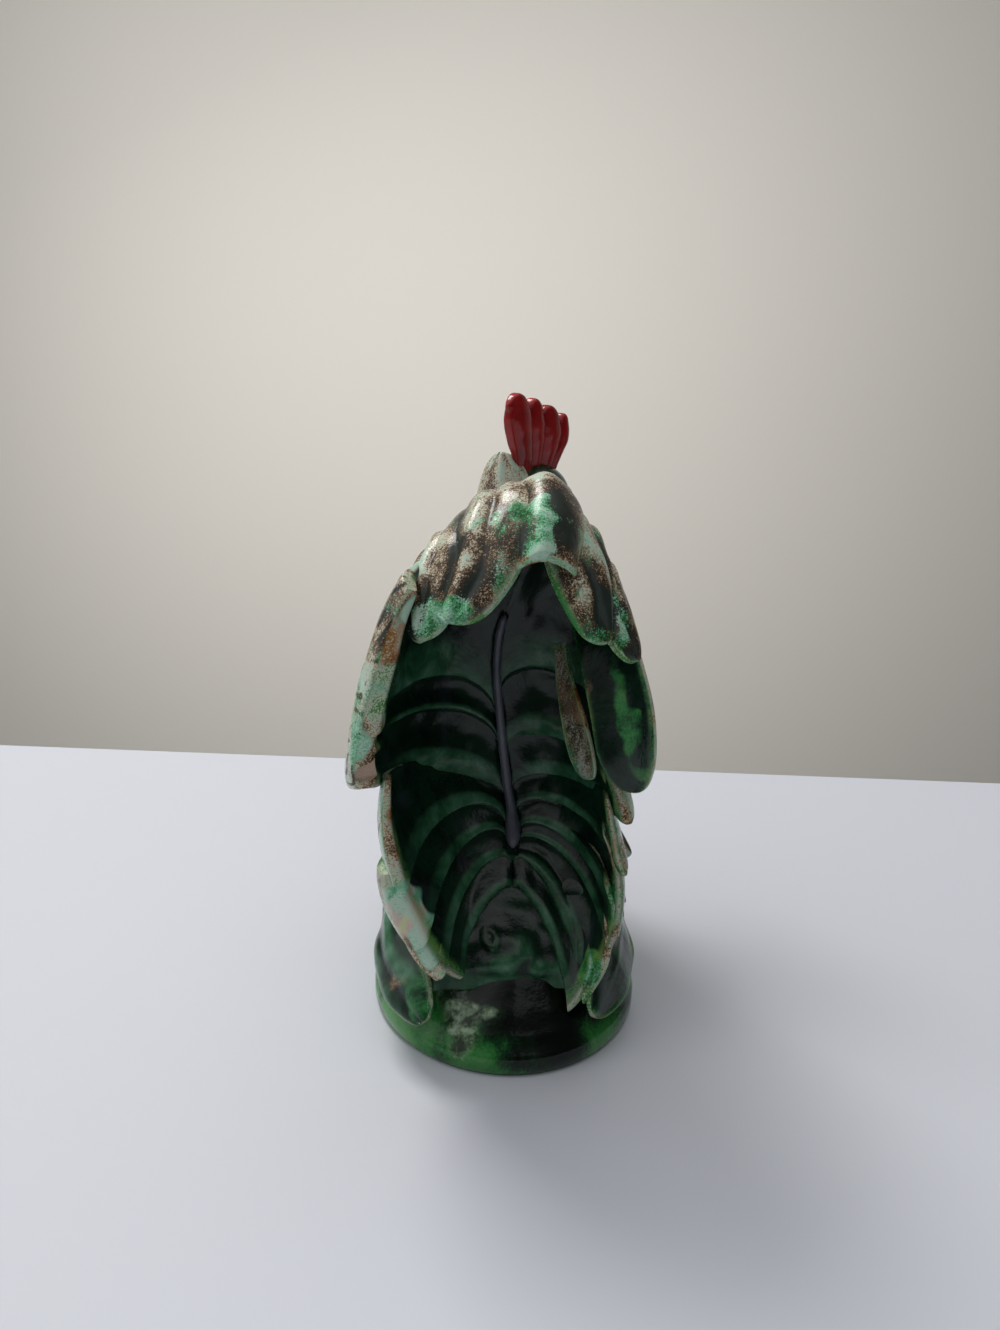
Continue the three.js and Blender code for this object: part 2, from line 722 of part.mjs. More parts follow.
function cupFeather(feather) {
  const large = feather.ridges.length > 2;
  const ribRelief = RIB_RELIEF * THREE.MathUtils.clamp((feather.rim[0].z - feather.rim[2].z) / 40, 0.35, 1);
  const columns = large ? 8 : 3;
  const rows = large ? 8 : 6;
  const rimThickness = feather.rimThickness ?? RIM_THICKNESS;
  const inner = [];
  const outer = [];
  for (let i = 0; i <= rows; i++) {
    const t = i / rows;
    const rowIn = [];
    const rowOut = [];
    for (let j = 0; j <= columns; j++) {
      const s = j / columns;
      const place = stripPoint(feather, s, t);
      const point = (ds, dt) => {
        const clamp = THREE.MathUtils.clamp;
        return stripPoint(feather, clamp(s + ds, 0, 1), clamp(t + dt, 0, 1));
      };
      const alongT = point(0, 0.02).sub(point(0, -0.02));
      const alongS = point(0.02, 0).sub(point(-0.02, 0));
      const out = alongT.cross(alongS).normalize();
      const away = place.clone().sub(vec(0, CUP_RIM_Y + 15, place.z));
      if (out.dot(away) < 0) out.negate();
      const fade = smooth(t, 0, 0.3) * (1 - 0.7 * smooth(t, 0.8, 1));
      const relief = ribRelief * trough(feather.ridges, s) * fade;
      const thick = mix(FEATHER_THICKNESS, rimThickness, smooth(t, 0.2, 1)) + SHINGLE_STEP * s;
      const barrel = 1.5 * Math.sin(Math.PI * s);
      const lip = mix(1, 0.7, smooth(t, 0.9, 1));
      rowIn.push(place.clone().addScaledVector(out, relief));
      rowOut.push(place.clone().addScaledVector(out, (thick + barrel) * lip));
    }
    inner.push(rowIn);
    outer.push(rowOut);
  }
  return solidBetween(inner, outer);
}
for (const feather of CUP_FEATHERS) {
  add(feather.name, cupFeather(feather), feather.color, 0.12);
}

// Neck, from inside the breast up to the head
const alongNeck = (x, y, z) =>
  vec(mix(NECK_FOOT.x, HEAD_PLACE.x, x), mix(NECK_FOOT.y, HEAD_PLACE.y, y), mix(NECK_FOOT.z, HEAD_PLACE.z, z));
const neckPath = pathThrough([NECK_FOOT, alongNeck(0.15, 0.2, 0.33), alongNeck(0.46, 0.5, 0.67), HEAD_PLACE]);
const neckRadius = through([NECK_FOOT_RADIUS, NECK_FOOT_RADIUS - 3, NECK_TOP_RADIUS + 4, NECK_TOP_RADIUS]);

// Head direction, turned to the bird's right
const FORWARD = vec(-Math.sin(HEAD_TURN), -Math.cos(HEAD_TURN), 0);
const ASIDE = vec(Math.cos(HEAD_TURN), -Math.sin(HEAD_TURN), 0);
const onHead = (forward, aside, up) =>
  HEAD_PLACE.clone().addScaledVector(FORWARD, forward).addScaledVector(ASIDE, aside).addScaledVector(UP, up);

// A stretched ball in the head's frame.
function headBall(place, along, across, up, widthSegments = 12, heightSegments = 8) {
  const ball = new THREE.SphereGeometry(1, widthSegments, heightSegments);
  ball.deleteAttribute("normal");
  ball.deleteAttribute("uv");
  const frame = new THREE.Matrix4().makeBasis(
    FORWARD.clone().multiplyScalar(along),
    UP.clone().multiplyScalar(up),
    FORWARD.clone().cross(UP).multiplyScalar(across),
  );
  frame.setPosition(place);
  return mergeVertices(ball.applyMatrix4(frame), 1e-4);
}
add("head", headBall(HEAD_PLACE, HEAD_HALF_LENGTH, HEAD_HALF_WIDTH, HEAD_HALF_HEIGHT), DARK_GREEN);

function neck() {
  const rings = [];
  for (let i = 0; i <= 6; i++) {
    const t = i / 6;
    rings.push(ring(neckPath(t), neckRadius(t), neckRadius(t), 2, 14));
  }
  return loft(rings);
}
add("neck", neck(), MOTTLED);

// Hackles: long neck feathers. The back one points up behind the head, the others fall over the breast.
const HACKLES = [
  { name: "hackle_left", angle: 10 },
  { name: "hackle_right", angle: 170 },
  { name: "hackle_front", angle: 270 },
];
add(
  "hackle_back",
  blade({
    path: [
      neckPath(0.12).add(vec(2, neckRadius(0.12), 0)),
      neckPath(0.45).add(vec(5, neckRadius(0.45), 0)),
      neckPath(0.75).add(vec(11, neckRadius(0.75) - 2, 2)),
      HEAD_PLACE.clone().add(vec(16, NECK_TOP_RADIUS - 4, 20)),
    ],
    widths: [15, 17, 15, 10],
    facing: () => vec(0.4, 1, 0.3),
    thickness: HACKLE_THICKNESS,
    crown: 0.5,
    tip: 0.3,
  }),
  CREAM,
);
for (const { name, angle } of HACKLES) {
  const a = THREE.MathUtils.degToRad(angle);
  const outward = vec(Math.cos(a), Math.sin(a), 0);
  const seat = (t, extra) => neckPath(t).addScaledVector(outward, neckRadius(t) + extra);
  const path = [seat(0.92, 0), seat(0.72, 0.5), seat(0.42, 1), seat(0.12, 2)];
  const widths = [8, 13, 17, 15];
  const facing = () => outward.clone().add(vec(0, 0, 0.3));
  add(name, blade({ path, widths, facing, thickness: HACKLE_THICKNESS, crown: 0.5, tip: 0.35 }), CREAM);
}

// Comb: a lobed blade along the head's crest
function comb() {
  const rows = 4 * COMB_LOBES;
  const columns = 3;
  const inner = [];
  const outer = [];
  for (let i = 0; i <= rows; i++) {
    const t = i / rows;
    const lobe = Math.abs(Math.sin(Math.PI * t * COMB_LOBES));
    const crest = mix(1, 0.66, t ** 1.5) * mix(0.74, 1, lobe ** 0.6);
    const top = HEAD_HALF_HEIGHT * 0.4 + COMB_HEIGHT * crest;
    const ends = Math.sqrt(Math.max(1 - (2 * t - 1) ** 6, 0.12));
    const foot = HEAD_HALF_HEIGHT * 0.6;
    const rowIn = [];
    const rowOut = [];
    for (let j = 0; j <= columns; j++) {
      const u = j / columns;
      const forward = (t - COMB_SEAT) * COMB_LENGTH * mix(0.6, 1, u);
      const swell = 0.4 + 0.6 * Math.sqrt(Math.max(1 - u ** 4, 0.02));
      const half = (COMB_THICKNESS / 2) * swell * ends * mix(0.7, 1, lobe);
      rowIn.push(onHead(forward, -half, mix(foot, top, u)));
      rowOut.push(onHead(forward, half, mix(foot, top, u)));
    }
    inner.push(rowIn);
    outer.push(rowOut);
  }
  return solidBetween(inner, outer);
}
add("comb", comb(), RED, 0.15);

// Beak: two horn-shaped halves
function beakHalf(up, lengthShare) {
  const rings = [];
  const length = BEAK_LENGTH * lengthShare;
  for (let i = 0; i <= 5; i++) {
    const t = i / 5;
    const size = BEAK_HALF_WIDTH * Math.sqrt(1 - (0.98 * t) ** 1.5);
    const droop = up > 0 ? 3.5 * t * t : -0.5 * t;
    const centre = onHead(HEAD_HALF_LENGTH - TUCK + t * (length + TUCK), 0, up - droop);
    rings.push(
      Array.from({ length: 10 }, (_, k) => {
        const a = (k * Math.PI) / 5;
        return centre
          .clone()
          .addScaledVector(ASIDE, Math.cos(a) * size)
          .addScaledVector(UP, Math.sin(a) * size * 0.62);
      }),
    );
  }
  return loft(rings);
}
add("beak_upper", beakHalf(1.5, 1), OCHRE, 0.25);
add("beak_lower", beakHalf(-3.6, 0.72), OCHRE, 0.25);

for (const [sideName, side] of [
  ["left", 1],
  ["right", -1],
]) {
  // Wattle, earlobe and eye
  const wattlePath = [
    onHead(HEAD_HALF_LENGTH * 0.62, side * 5, -HEAD_HALF_HEIGHT * 0.55),
    onHead(HEAD_HALF_LENGTH * 0.72, side * 7, -HEAD_HALF_HEIGHT * 0.6 - WATTLE_LENGTH * 0.5),
    onHead(HEAD_HALF_LENGTH * 0.7, side * 6, -HEAD_HALF_HEIGHT * 0.6 - WATTLE_LENGTH),
  ];
  const outward = ASIDE.clone().multiplyScalar(side);
  add(
    "wattle_" + sideName,
    blade({
      path: wattlePath,
      widths: [WATTLE_HALF_WIDTH * 0.5, WATTLE_HALF_WIDTH, WATTLE_HALF_WIDTH],
      facing: () => outward.clone(),
      thickness: WATTLE_THICKNESS,
      tip: 0.5,
    }),
    RED,
    0.15,
  );
  const earPlace = onHead(-2, side * HEAD_HALF_WIDTH * 0.93, -3.5);
  add("earlobe_" + sideName, headBall(earPlace, EARLOBE_RADIUS, 3, EARLOBE_RADIUS * 1.2, 8, 6), RED, 0.15);
  const eyePlace = onHead(6.5, side * HEAD_HALF_WIDTH * 0.86, 4);
  add("eye_" + sideName, headBall(eyePlace, EYE_RADIUS, 2, EYE_RADIUS, 8, 6), BLACK, 0.05);

  // Wing: a shoulder pad and three flight feathers that step down and back
  const beside = (y, z, extra) => vec(side * (torsoSide(y, z) + extra), y, z);
  const wingFacing = () => vec(side, 0, 0.15);
  const wing = [
    {
      name: "wing_shoulder_",
      path: [beside(-84, 104, 0), beside(-62, 112, 3), beside(-36, 106, 5), beside(-12, 92, 12)],
      widths: [11, 18, 18, 13],
      thickness: WING_THICKNESS,
    },
    {
      name: "wing_flight_upper_",
      path: [beside(-62, 92, 3), beside(-36, 88, 7), beside(-12, 80, 16), vec(side * 44, 14, 68)],
      widths: [10, 13, 13, 10],
      thickness: FLIGHT_THICKNESS,
    },
    {
      name: "wing_flight_middle_",
      path: [beside(-62, 78, 2), beside(-38, 72, 7), beside(-16, 60, 15), vec(side * 45, 6, 42)],
      widths: [10, 13, 13, 10],
      thickness: FLIGHT_THICKNESS,
    },
    {
      name: "wing_flight_lower_",
      path: [beside(-60, 64, 2), beside(-40, 58, 8), vec(side * 46, -20, 42), vec(side * 47, -4, 24)],
      widths: [10, 13, 12, 9],
      thickness: FLIGHT_THICKNESS,
    },
  ];
  for (const feather of wing) {
    add(feather.name + sideName, blade({ ...feather, facing: wingFacing, tip: 0.35 }), RUST);
  }

  // Saddle: two feathers that hang over the rump's side, behind the wing
  const saddle = [
    {
      name: "saddle_upper_",
      path: [vec(12, -27, 149), vec(25, -19, 134), vec(32, -10, 112), vec(35, -3, 90)],
      widths: [9, 12, 12, 8],
    },
    {
      name: "saddle_lower_",
      path: [vec(31, -16, 108), vec(34, -7, 86), vec(36, 3, 64), vec(37, 12, 46)],
      widths: [10, 13, 13, 9],
    },
  ];
  for (const feather of saddle) {
    const path = feather.path.map((p) => vec(side * p.x, p.y, p.z));
    const shape = { ...feather, path, facing: wingFacing, thickness: FLIGHT_THICKNESS, tip: 0.35 };
    add(feather.name + sideName, blade(shape), MOTTLED);
  }

  // Leg: a feathered thigh, and a foot of three toes spread on the mound
  const thighPath = [beside(-68, 84, 0), vec(side * 35, -64, 64), vec(side * 31, -54, 47)];
  add(
    "thigh_" + sideName,
    blade({
      path: thighPath,
      widths: [THIGH_HALF_WIDTH, THIGH_HALF_WIDTH, THIGH_HALF_WIDTH * 0.6],
      facing: () => vec(side * 0.7, -0.8, 0),
      thickness: THIGH_THICKNESS,
      tip: 0.6,
    }),
    MOTTLED,
  );
  const ankle = vec(side * 23, -44, moundHeight(side * 23, -44) + TOE_RADIUS * 0.6);
  let foot = toSolid(shank(ankle, vec(side * 31, -54, 52)));
  for (const splay of [-35, 0, 35]) {
    foot = foot.add(toSolid(toe(ankle, THREE.MathUtils.degToRad(splay + side * 8))));
  }
  add("foot_" + sideName, toGeometry(foot), OCHRE, 0.3);
}

function shank(from, to) {
  return loft([0, 0.5, 1].map((t) => ring(from.clone().lerp(to, t), SHANK_RADIUS, SHANK_RADIUS, 2, 8)));
}

// A toe that follows the mound's skin from the ankle.
function toe(ankle, splay) {
  const rings = [];
  const ahead = vec(Math.sin(splay), -Math.cos(splay), 0);
  const across = vec(Math.cos(splay), Math.sin(splay), 0);
  for (let i = 0; i <= 3; i++) {
    const t = i / 3;
    const centre = ankle.clone().addScaledVector(ahead, t * TOE_LENGTH);
    centre.z = moundHeight(centre.x, centre.y) + TOE_RADIUS * 0.6;
    const size = TOE_RADIUS * mix(1.1, 0.6, t);
    rings.push(
      Array.from({ length: 6 }, (_, k) => {
        const a = (k * Math.PI) / 3;
        return centre
          .clone()
          .addScaledVector(across, Math.cos(a) * size)
          .addScaledVector(UP, Math.sin(a) * size);
      }),
    );
  }
  return loft(rings);
}

// Leaves modelled on the mound, one at each side of the tail
const MOUND_LEAVES = [
  {
    name: "base_leaf_left",
    path: [vec(45, -8, 34), vec(45, 14, 36), vec(41, 34, 30), vec(33, 50, 21)],
    widths: [8, 12, 12, 8],
    facing: () => vec(0.9, 0.7, 0.6),
  },
  {
    name: "base_leaf_right",
    path: [vec(-45, -8, 34), vec(-44, 14, 34), vec(-38, 34, 30), vec(-29, 50, 22)],
    widths: [8, 12, 12, 8],
    facing: () => vec(-0.9, 0.7, 0.6),
  },
];
for (const leaf of MOUND_LEAVES) {
  add(leaf.name, blade({ ...leaf, thickness: MOUND_LEAF_THICKNESS, tip: 0.35 }), GREEN);
}

// The origin is the middle of the whole object's box, at its foot.
const bounds = new THREE.Box3().setFromObject(group);
const middle = bounds.getCenter(vec(0, 0, 0));
group.position.set(-middle.x, -middle.y, -bounds.min.z);

export default group;
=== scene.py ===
# %% [markdown]
# A glazed ceramic rooster, seen from behind, into its hollow leaf-shaped tail.
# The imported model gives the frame: every piece made here takes the place of one solid of it.
# Lengths are in millimetres while a shape is made, and each mesh is scaled to metres at the end.

# %% Load the frame
import math

import bpy
import numpy as np
from mathutils import Matrix, Vector


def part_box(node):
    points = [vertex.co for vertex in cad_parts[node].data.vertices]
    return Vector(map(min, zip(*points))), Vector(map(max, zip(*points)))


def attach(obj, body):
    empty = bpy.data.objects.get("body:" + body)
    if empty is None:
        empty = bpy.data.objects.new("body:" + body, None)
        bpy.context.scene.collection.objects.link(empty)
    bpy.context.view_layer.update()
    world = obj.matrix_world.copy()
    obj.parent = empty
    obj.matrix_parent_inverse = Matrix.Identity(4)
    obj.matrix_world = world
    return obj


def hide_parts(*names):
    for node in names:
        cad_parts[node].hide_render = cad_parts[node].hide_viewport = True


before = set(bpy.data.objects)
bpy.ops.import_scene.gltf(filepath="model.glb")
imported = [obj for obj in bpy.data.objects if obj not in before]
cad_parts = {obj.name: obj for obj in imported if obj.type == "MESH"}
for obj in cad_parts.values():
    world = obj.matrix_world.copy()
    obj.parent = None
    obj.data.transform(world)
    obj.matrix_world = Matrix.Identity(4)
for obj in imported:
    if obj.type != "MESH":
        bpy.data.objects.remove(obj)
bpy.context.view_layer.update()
print("nodes in the frame:", len(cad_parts))

# %% [markdown]
# The shapes are written about the middle of the mound. The mound's box says where that is in the frame:
# its rim is a ring of thirty sides, so its rearmost corner stands a little short of the oval itself.

# %% Where the mound's middle is
MM = 0.001
BASE_RADIUS = 52.0
BASE_REAR = 55.0
BASE_FRONT = 70.0
RING_SIDES = 30
mound_low, mound_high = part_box("base_mound")
rear_corner = BASE_REAR * math.cos(math.pi / RING_SIDES)
SHIFT = np.array(
    [(mound_low.x + mound_high.x) / 2 / MM, mound_high.y / MM - rear_corner, 0.0]
)
print("middle of the mound in the frame, mm:", SHIFT.round(2))

# %% [markdown]
# Curves through a few points give every line of the bird. Between two points the curve is a cubic that
# leaves each point along the line between its neighbours, so a short list of points makes a smooth path.


# %% Curves and blends
def mix(a, b, t):
    return a + (b - a) * t


def smooth(x, low, high):
    u = np.clip((np.asarray(x, float) - low) / (high - low), 0, 1)
    return u * u * (3 - 2 * u)


def through(values, t):
    v = np.asarray(values, float)
    last = len(v) - 1
    x = np.clip(np.asarray(t, float), 0, 1) * last
    i = np.minimum(np.floor(x).astype(int), last - 1)
    f = x - i
    if v.ndim > 1:
        f = f[..., None]
    a, b, c, d = (v[np.clip(i + k, 0, last)] for k in (-1, 0, 1, 2))
    m0, m1 = (c - a) / 2, (d - b) / 2
    f2, f3 = f * f, f * f * f
    return b * (2 * f3 - 3 * f2 + 1) + m0 * (f3 - 2 * f2 + f) + c * (3 * f2 - 2 * f3) + m1 * (f3 - f2)


def unit(v):
    return v / np.maximum(np.linalg.norm(v, axis=-1, keepdims=True), 1e-9)


def ends_dense(count):
    """Steps from -1 to 1 that crowd towards both ends, where edges are rounded."""
    return np.sin(np.linspace(-np.pi / 2, np.pi / 2, count))


def waves(place, scale, seed):
    """A smooth uneven field between about -1 and 1, as hand-worked clay has."""
    rng = np.random.default_rng(seed)
    total = 0.0
    for _ in range(7):
        direction = unit(rng.normal(size=3)) * rng.uniform(0.6, 1.5) / scale
        total = total + np.sin(place @ direction * 2 * np.pi + rng.uniform(0, 6.28))
    return total / 4


# %% [markdown]
# A piece of clay is a closed mesh. Three numbers go with each of its points, for the glaze to read:
# how far it lies inside the tail's hollow, how near it is to a rim, and whether the clay is a crest or
# a hollow there. The glaze is paler over crests and darker in hollows: partly glaze that runs thin on
# crests and pools in hollows, partly painted highlight on the crests and painted shade in the hollows.


# %% From points to a piece
BROWN_SPOTS = [
    (7, 40, 199, 9, 1.0),
    (4, 47, 193, 6, 0.8),
    (-11, 38, 202, 8, 0.9),
    (43, 40, 169, 9, 0.9),
    (47, 43, 160, 7, 0.9),
    (51, 47, 152, 5, 0.6),
    (43, 46, 101, 5, 0.8),
    (-26, 38, 172, 7, 1.3),
    (-27, 44, 84, 9, 0.55),
    (45, 40, 31, 6, 1.0),
    (-30, 46, 76, 8, 0.45),
    (18, 42, 190, 7, -0.8),
    (27, 38, 196, 7, 1.6),
    (33, 40, 187, 5, 1.0),
    (-8, 30, 208, 6, 1.4),
    (-24, 42, 180, 5, 0.6),
    (-27, 43, 171, 5, 0.7),
    (51, 48, 149, 7, -0.8),
    (-1, 22, 211, 7, -0.7),
    (4, -76, 200, 14, -0.2),
    (41, 48, 68, 9, -1.3),
    (36, 48, 59, 8, -1.3),
    (-24, 40, 176, 7, 1.2),
    (-31, 36, 168, 6, 1.2),
    (-17, 26, 136, 8, 0.9),
    (48, 44, 143, 5, 0.7),
    (46, 46, 137, 4, -0.8),
]
# Spots on the mound's rear face, read as its brown field: positive amounts darken it as painted shadow and dark
# reflection under the tail, and negative amounts lay a pale patch that is a painted reflection.
MOUND_SHADOW_AND_REFLECTION_SPOTS = [
    (-14, 50, 20, 22, 1.4),
    (-30, 44, 18, 18, 0.9),
    (21, 47, 21, 13, -1.5),
    (23, 42, 22, 8, -0.8),
    (40, 30, 18, 16, 0.6),
    (5, 40, 30, 14, 0.8),
]
MINT_SPOTS = [
    (-1, 22, 212, 5, 1.0),
    (-2, 32, 208, 4.8, 1.0),
    (-2, 40, 204, 4.6, 1.0),
    (-4, 45, 200, 4, 1.0),
    (-2, 48, 195, 3.4, 1.2),
    (3, 49, 195, 3.5, 1.0),
    (8, 49, 193, 3.5, 1.0),
    (14, 50, 188, 3.5, 0.9),
    (18, 51, 184, 3.5, 0.9),
    (25, 50, 175, 6, 1.0),
    (34, 36, 194, 5, 0.8),
    (38, 45, 174, 6, 0.8),
    (-21, 42, 187, 4, 1.0),
    (-30, 42, 167, 5, 1.0),
    (55, 48, 126, 5, 0.4),
    (-13, 49, 178, 12, -0.6),
    (39, 48, 68, 9, 0.9),
    (33, 49, 54, 8, 0.9),
    (29, 49, 48, 6, 0.7),
    (-24, 49, 42, 5, 0.8),
]
GREEN_SPOTS = [
    (9, 34, 205, 6, 0.9),
    (14, 36, 202, 5, 0.9),
    (36, 46, 173, 7, 0.5),
    (-9, 49, 184, 6, 1.2),
    (-13, 49, 177, 6, 1.2),
    (-17, 49, 170, 6, 1.1),
    (-24, 42, 180, 6, -1.6),
    (-27, 43, 171, 6, -1.6),
    (-31, 31, 153, 5.5, 0.7),
    (-33, 34, 145, 5.5, 1.0),
    (-35, 39, 137, 5.5, 1.2),
    (-37, 43, 129, 5.5, 1.0),
    (-38, 46, 120, 5, 0.7),
    (-27, 48, 41, 7, 1.1),
    (-12, 45, 52, 5, 1.1),
    (46, 30, 6, 13, 1.3),
    (14, 55, 4, 14, 1.3),
    (-32, 45, 5, 16, 1.2),
    (57, 52, 129, 9, 0.8),
    (-30, 46, 66, 9, 0.8),
    (31, 50, 51, 8, 1.0),
    (-24, 47, 45, 8, 0.7),
    (37, 46, 29, 7, 1.5),
]


def crest_of(points, faces, passes=3):
    """Above 0.5 on crests and below it in hollows."""
    edges = np.concatenate([faces[:, [0, 1]], faces[:, [1, 2]], faces[:, [2, 3]], faces[:, [3, 0]]])
    edges = edges[edges[:, 0] != edges[:, 1]]
    a, b = np.concatenate([edges[:, 0], edges[:, 1]]), np.concatenate([edges[:, 1], edges[:, 0]])
    count = np.maximum(np.bincount(a, minlength=len(points)), 1)

    def spread(values):
        return np.stack([np.bincount(a, values[b, k], len(points)) / count for k in range(values.shape[1])], 1)

    normal = np.zeros_like(points)
    cross = np.cross(points[faces[:, 2]] - points[faces[:, 0]], points[faces[:, 3]] - points[faces[:, 1]])
    for k in range(4):
        np.add.at(normal, faces[:, k], cross)
    normal = unit(normal)
    soft = points
    for _ in range(passes * 4):
        soft = spread(soft)
    height = ((points - soft) * normal).sum(1)[:, None]
    for _ in range(passes):
        height = spread(height)
    return np.clip(0.5 + 0.9 * height[:, 0], 0, 1)


def near(points, spots):
    """How strongly the spots (x, y, z, radius, amount) touch each point, with uneven borders."""
    moved = points + 3 * np.stack([waves(points, 14, k) for k in (1, 2, 3)], -1)
    total = np.zeros(len(points))
    for x, y, z, radius, amount in spots:
        far = np.linalg.norm(moved - [x, y, z], axis=1) / radius
        total += amount * np.exp(-far**4)
    return total


def piece(node, points, faces, inside=0.0, edge=0.0, material=None, crest=None, chip=0.0, spots=BROWN_SPOTS):
    """Makes the mesh in the frame, puts it in the place of its node and lets it ride on the bird."""
    faces = np.asarray(faces)
    p = points[faces]
    if (np.cross(p[:, 1] - p[:, 0], p[:, 2] - p[:, 0]) * p[:, 0]).sum() < 0:
        faces = faces[:, ::-1]
    name = "glazed_" + node
    mesh = bpy.data.meshes.new(name)
    place = (points + SHIFT) * MM
    flat = [tuple(dict.fromkeys(f)) for f in faces.tolist()]
    mesh.from_pydata(place.tolist(), [], [f for f in flat if len(f) > 2])
    fields = {
        "inside": inside,
        "edge": edge,
        "crest": crest_of(points, faces) if crest is None else crest,
        "chip": chip,
        "brown": near(points, spots),
        "wet": near(points, GREEN_SPOTS),
        "mint": near(points, MINT_SPOTS),
    }
    for key, value in fields.items():
        data = np.broadcast_to(np.asarray(value, np.float32), (len(points),)).copy()
        mesh.attributes.new(key, "FLOAT", "POINT").data.foreach_set("value", data)
    mesh.shade_smooth()
    made = bpy.data.objects.new(name, mesh)
    bpy.context.scene.collection.objects.link(made)
    if material:
        mesh.materials.append(material)
    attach(made, "root")
    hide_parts(node)
    return made


def slab(middle, half, round_s, round_t):
    """A closed shape between two faces that meet in rounded edges: middle plus half, and middle less half."""
    rows, cols = middle.shape[:2]
    thick = (round_s[None, :] * round_t[:, None])[..., None]
    outer, inner = middle + half * thick, middle - half * thick
    index = np.arange(rows * cols).reshape(rows, cols)
    under = index.copy()
    under[1:-1, 1:-1] = rows * cols + np.arange((rows - 2) * (cols - 2)).reshape(rows - 2, cols - 2)
    points = np.concatenate([outer.reshape(-1, 3), inner[1:-1, 1:-1].reshape(-1, 3)])

    def quads(g, turn):
        q = np.stack([g[:-1, :-1], g[1:, :-1], g[1:, 1:], g[:-1, 1:]], -1).reshape(-1, 4)
        return q[:, ::-1] if turn else q

    faces = np.concatenate([quads(index, False), quads(under, True)])
    inside = np.concatenate([0.5 * (1 - thick[..., 0]).ravel(), (0.5 + 0.5 * thick[1:-1, 1:-1, 0]).ravel()])
    rim = np.concatenate([(1 - thick[..., 0]).ravel(), (1 - thick[1:-1, 1:-1, 0]).ravel()])
    return points, faces, inside, rim


def rounding(u, power=5.0):
    return np.maximum(1 - np.abs(u) ** power, 0) ** (1 / power)


def closed_rings(rings):
    """A closed mesh through rings of equal count, with a point at each end."""
    count, sides = rings.shape[:2]
    index = np.arange(count * sides).reshape(count, sides)
    around = np.roll(index, -1, axis=1)
    faces = [np.stack([index[:-1], index[1:], around[1:], around[:-1]], -1).reshape(-1, 4)]
    points = [rings.reshape(-1, 3)]
    for row, flip in ((0, True), (count - 1, False)):
        tip = count * sides + (0 if row == 0 else 1)
        points.append(rings[row].mean(0)[None])
        tips = np.full(sides, tip)
        fan = np.stack([tips, index[row], around[row], around[row]], -1)
        faces.append(fan[:, ::-1] if flip else fan)
    return np.concatenate(points), np.concatenate(faces)


print("piece makers are ready")

# %% [markdown]
# The feathers of such a bird are leaves of clay: each starts under its neighbour, widens, is crowned
# across and rounds off at its tip. Two or three grooves are pressed along it with a modelling tool.


# %% A feather
def feather(
    node, path, widths, facing, thickness, crown=0.25, tip=0.25,
    grooves=3, depth=0.7, sharp=0.6, ruffle=0.0, skew=0.0, seed=0, rows=56, cols=40, material=None, inside_share=1.0, inside_base=0.0, rim_share=1.0,
):  # fmt: skip
    t = (ends_dense(rows) + 1) / 2
    s = ends_dense(cols)
    place = through(path, t)
    along = unit(through(path, np.minimum(t + 0.01, 1)) - through(path, np.maximum(t - 0.01, 0)))
    out = unit(np.array([facing(k) for k in t], float))
    side = unit(np.cross(along, out))
    out = unit(np.cross(side, along))
    near_tip = np.clip(1 - (1 - t) / tip, 0, 1)
    width = through(widths, t) * np.maximum(np.sqrt(1 - near_tip**2.2), 0.04)
    half = thickness / 2 * mix(1, 0.6, near_tip**2)
    S, T = np.meshgrid(s, t)
    W = width[:, None]
    middle = place[:, None] + side[:, None] * (S * W)[..., None]
    bend = -crown * W * S * S + ruffle * np.sin(T * 9 + seed + 2 * S) * np.abs(S) ** 2
    middle = middle + out[:, None] * bend[..., None]
    middle = middle + out[:, None] * (0.5 * waves(middle, 26, seed))[..., None]
    body = half[:, None] * (1 - 0.35 * S * S)
    points, faces, inside, rim = slab(
        middle, out[:, None] * body[..., None], rounding(s), rounding(2 * t - 1, 8)
    )
    drift = 0.35 * waves(middle, 30, seed + 7)
    line = np.abs(np.sin(np.pi * (grooves * (S + skew * T) / 2 + 0.5 + drift)))
    press = depth * (line**sharp - 0.75) * smooth(1 - np.abs(S), 0.02, 0.25) * smooth(T, 0, 0.2)
    shaft = 0.5 * np.exp(-((S / 0.09) ** 2)) * (1 - T)
    lift = (out[:, None] * (press + shaft)[..., None]).reshape(-1, 3)
    points[: rows * cols] += lift
    return piece(node, points, faces, inside * inside_share + inside_base, rim * rim_share, material)


# %% [markdown]
# Glaze is a thin coloured glass over clay. Under a clear hard coat the colour comes from patches that
# ran and mixed in the kiln: brown specks on cream, mint and bright green, and near black where it is
# deep. Each patch is a noise pattern fixed to the object, stretched upwards along the runs. Some of the
# colour is painted light: a lavender sheen in the hollow, paler crests and ribs that are partly painted
# highlight, and darker creases that are partly painted shade.


# %% Glaze materials
def srgb(r, g, b):
    def line(c):
        c /= 255
        return c / 12.92 if c <= 0.04045 else ((c + 0.055) / 1.055) ** 2.4

    return (line(r), line(g), line(b), 1.0)


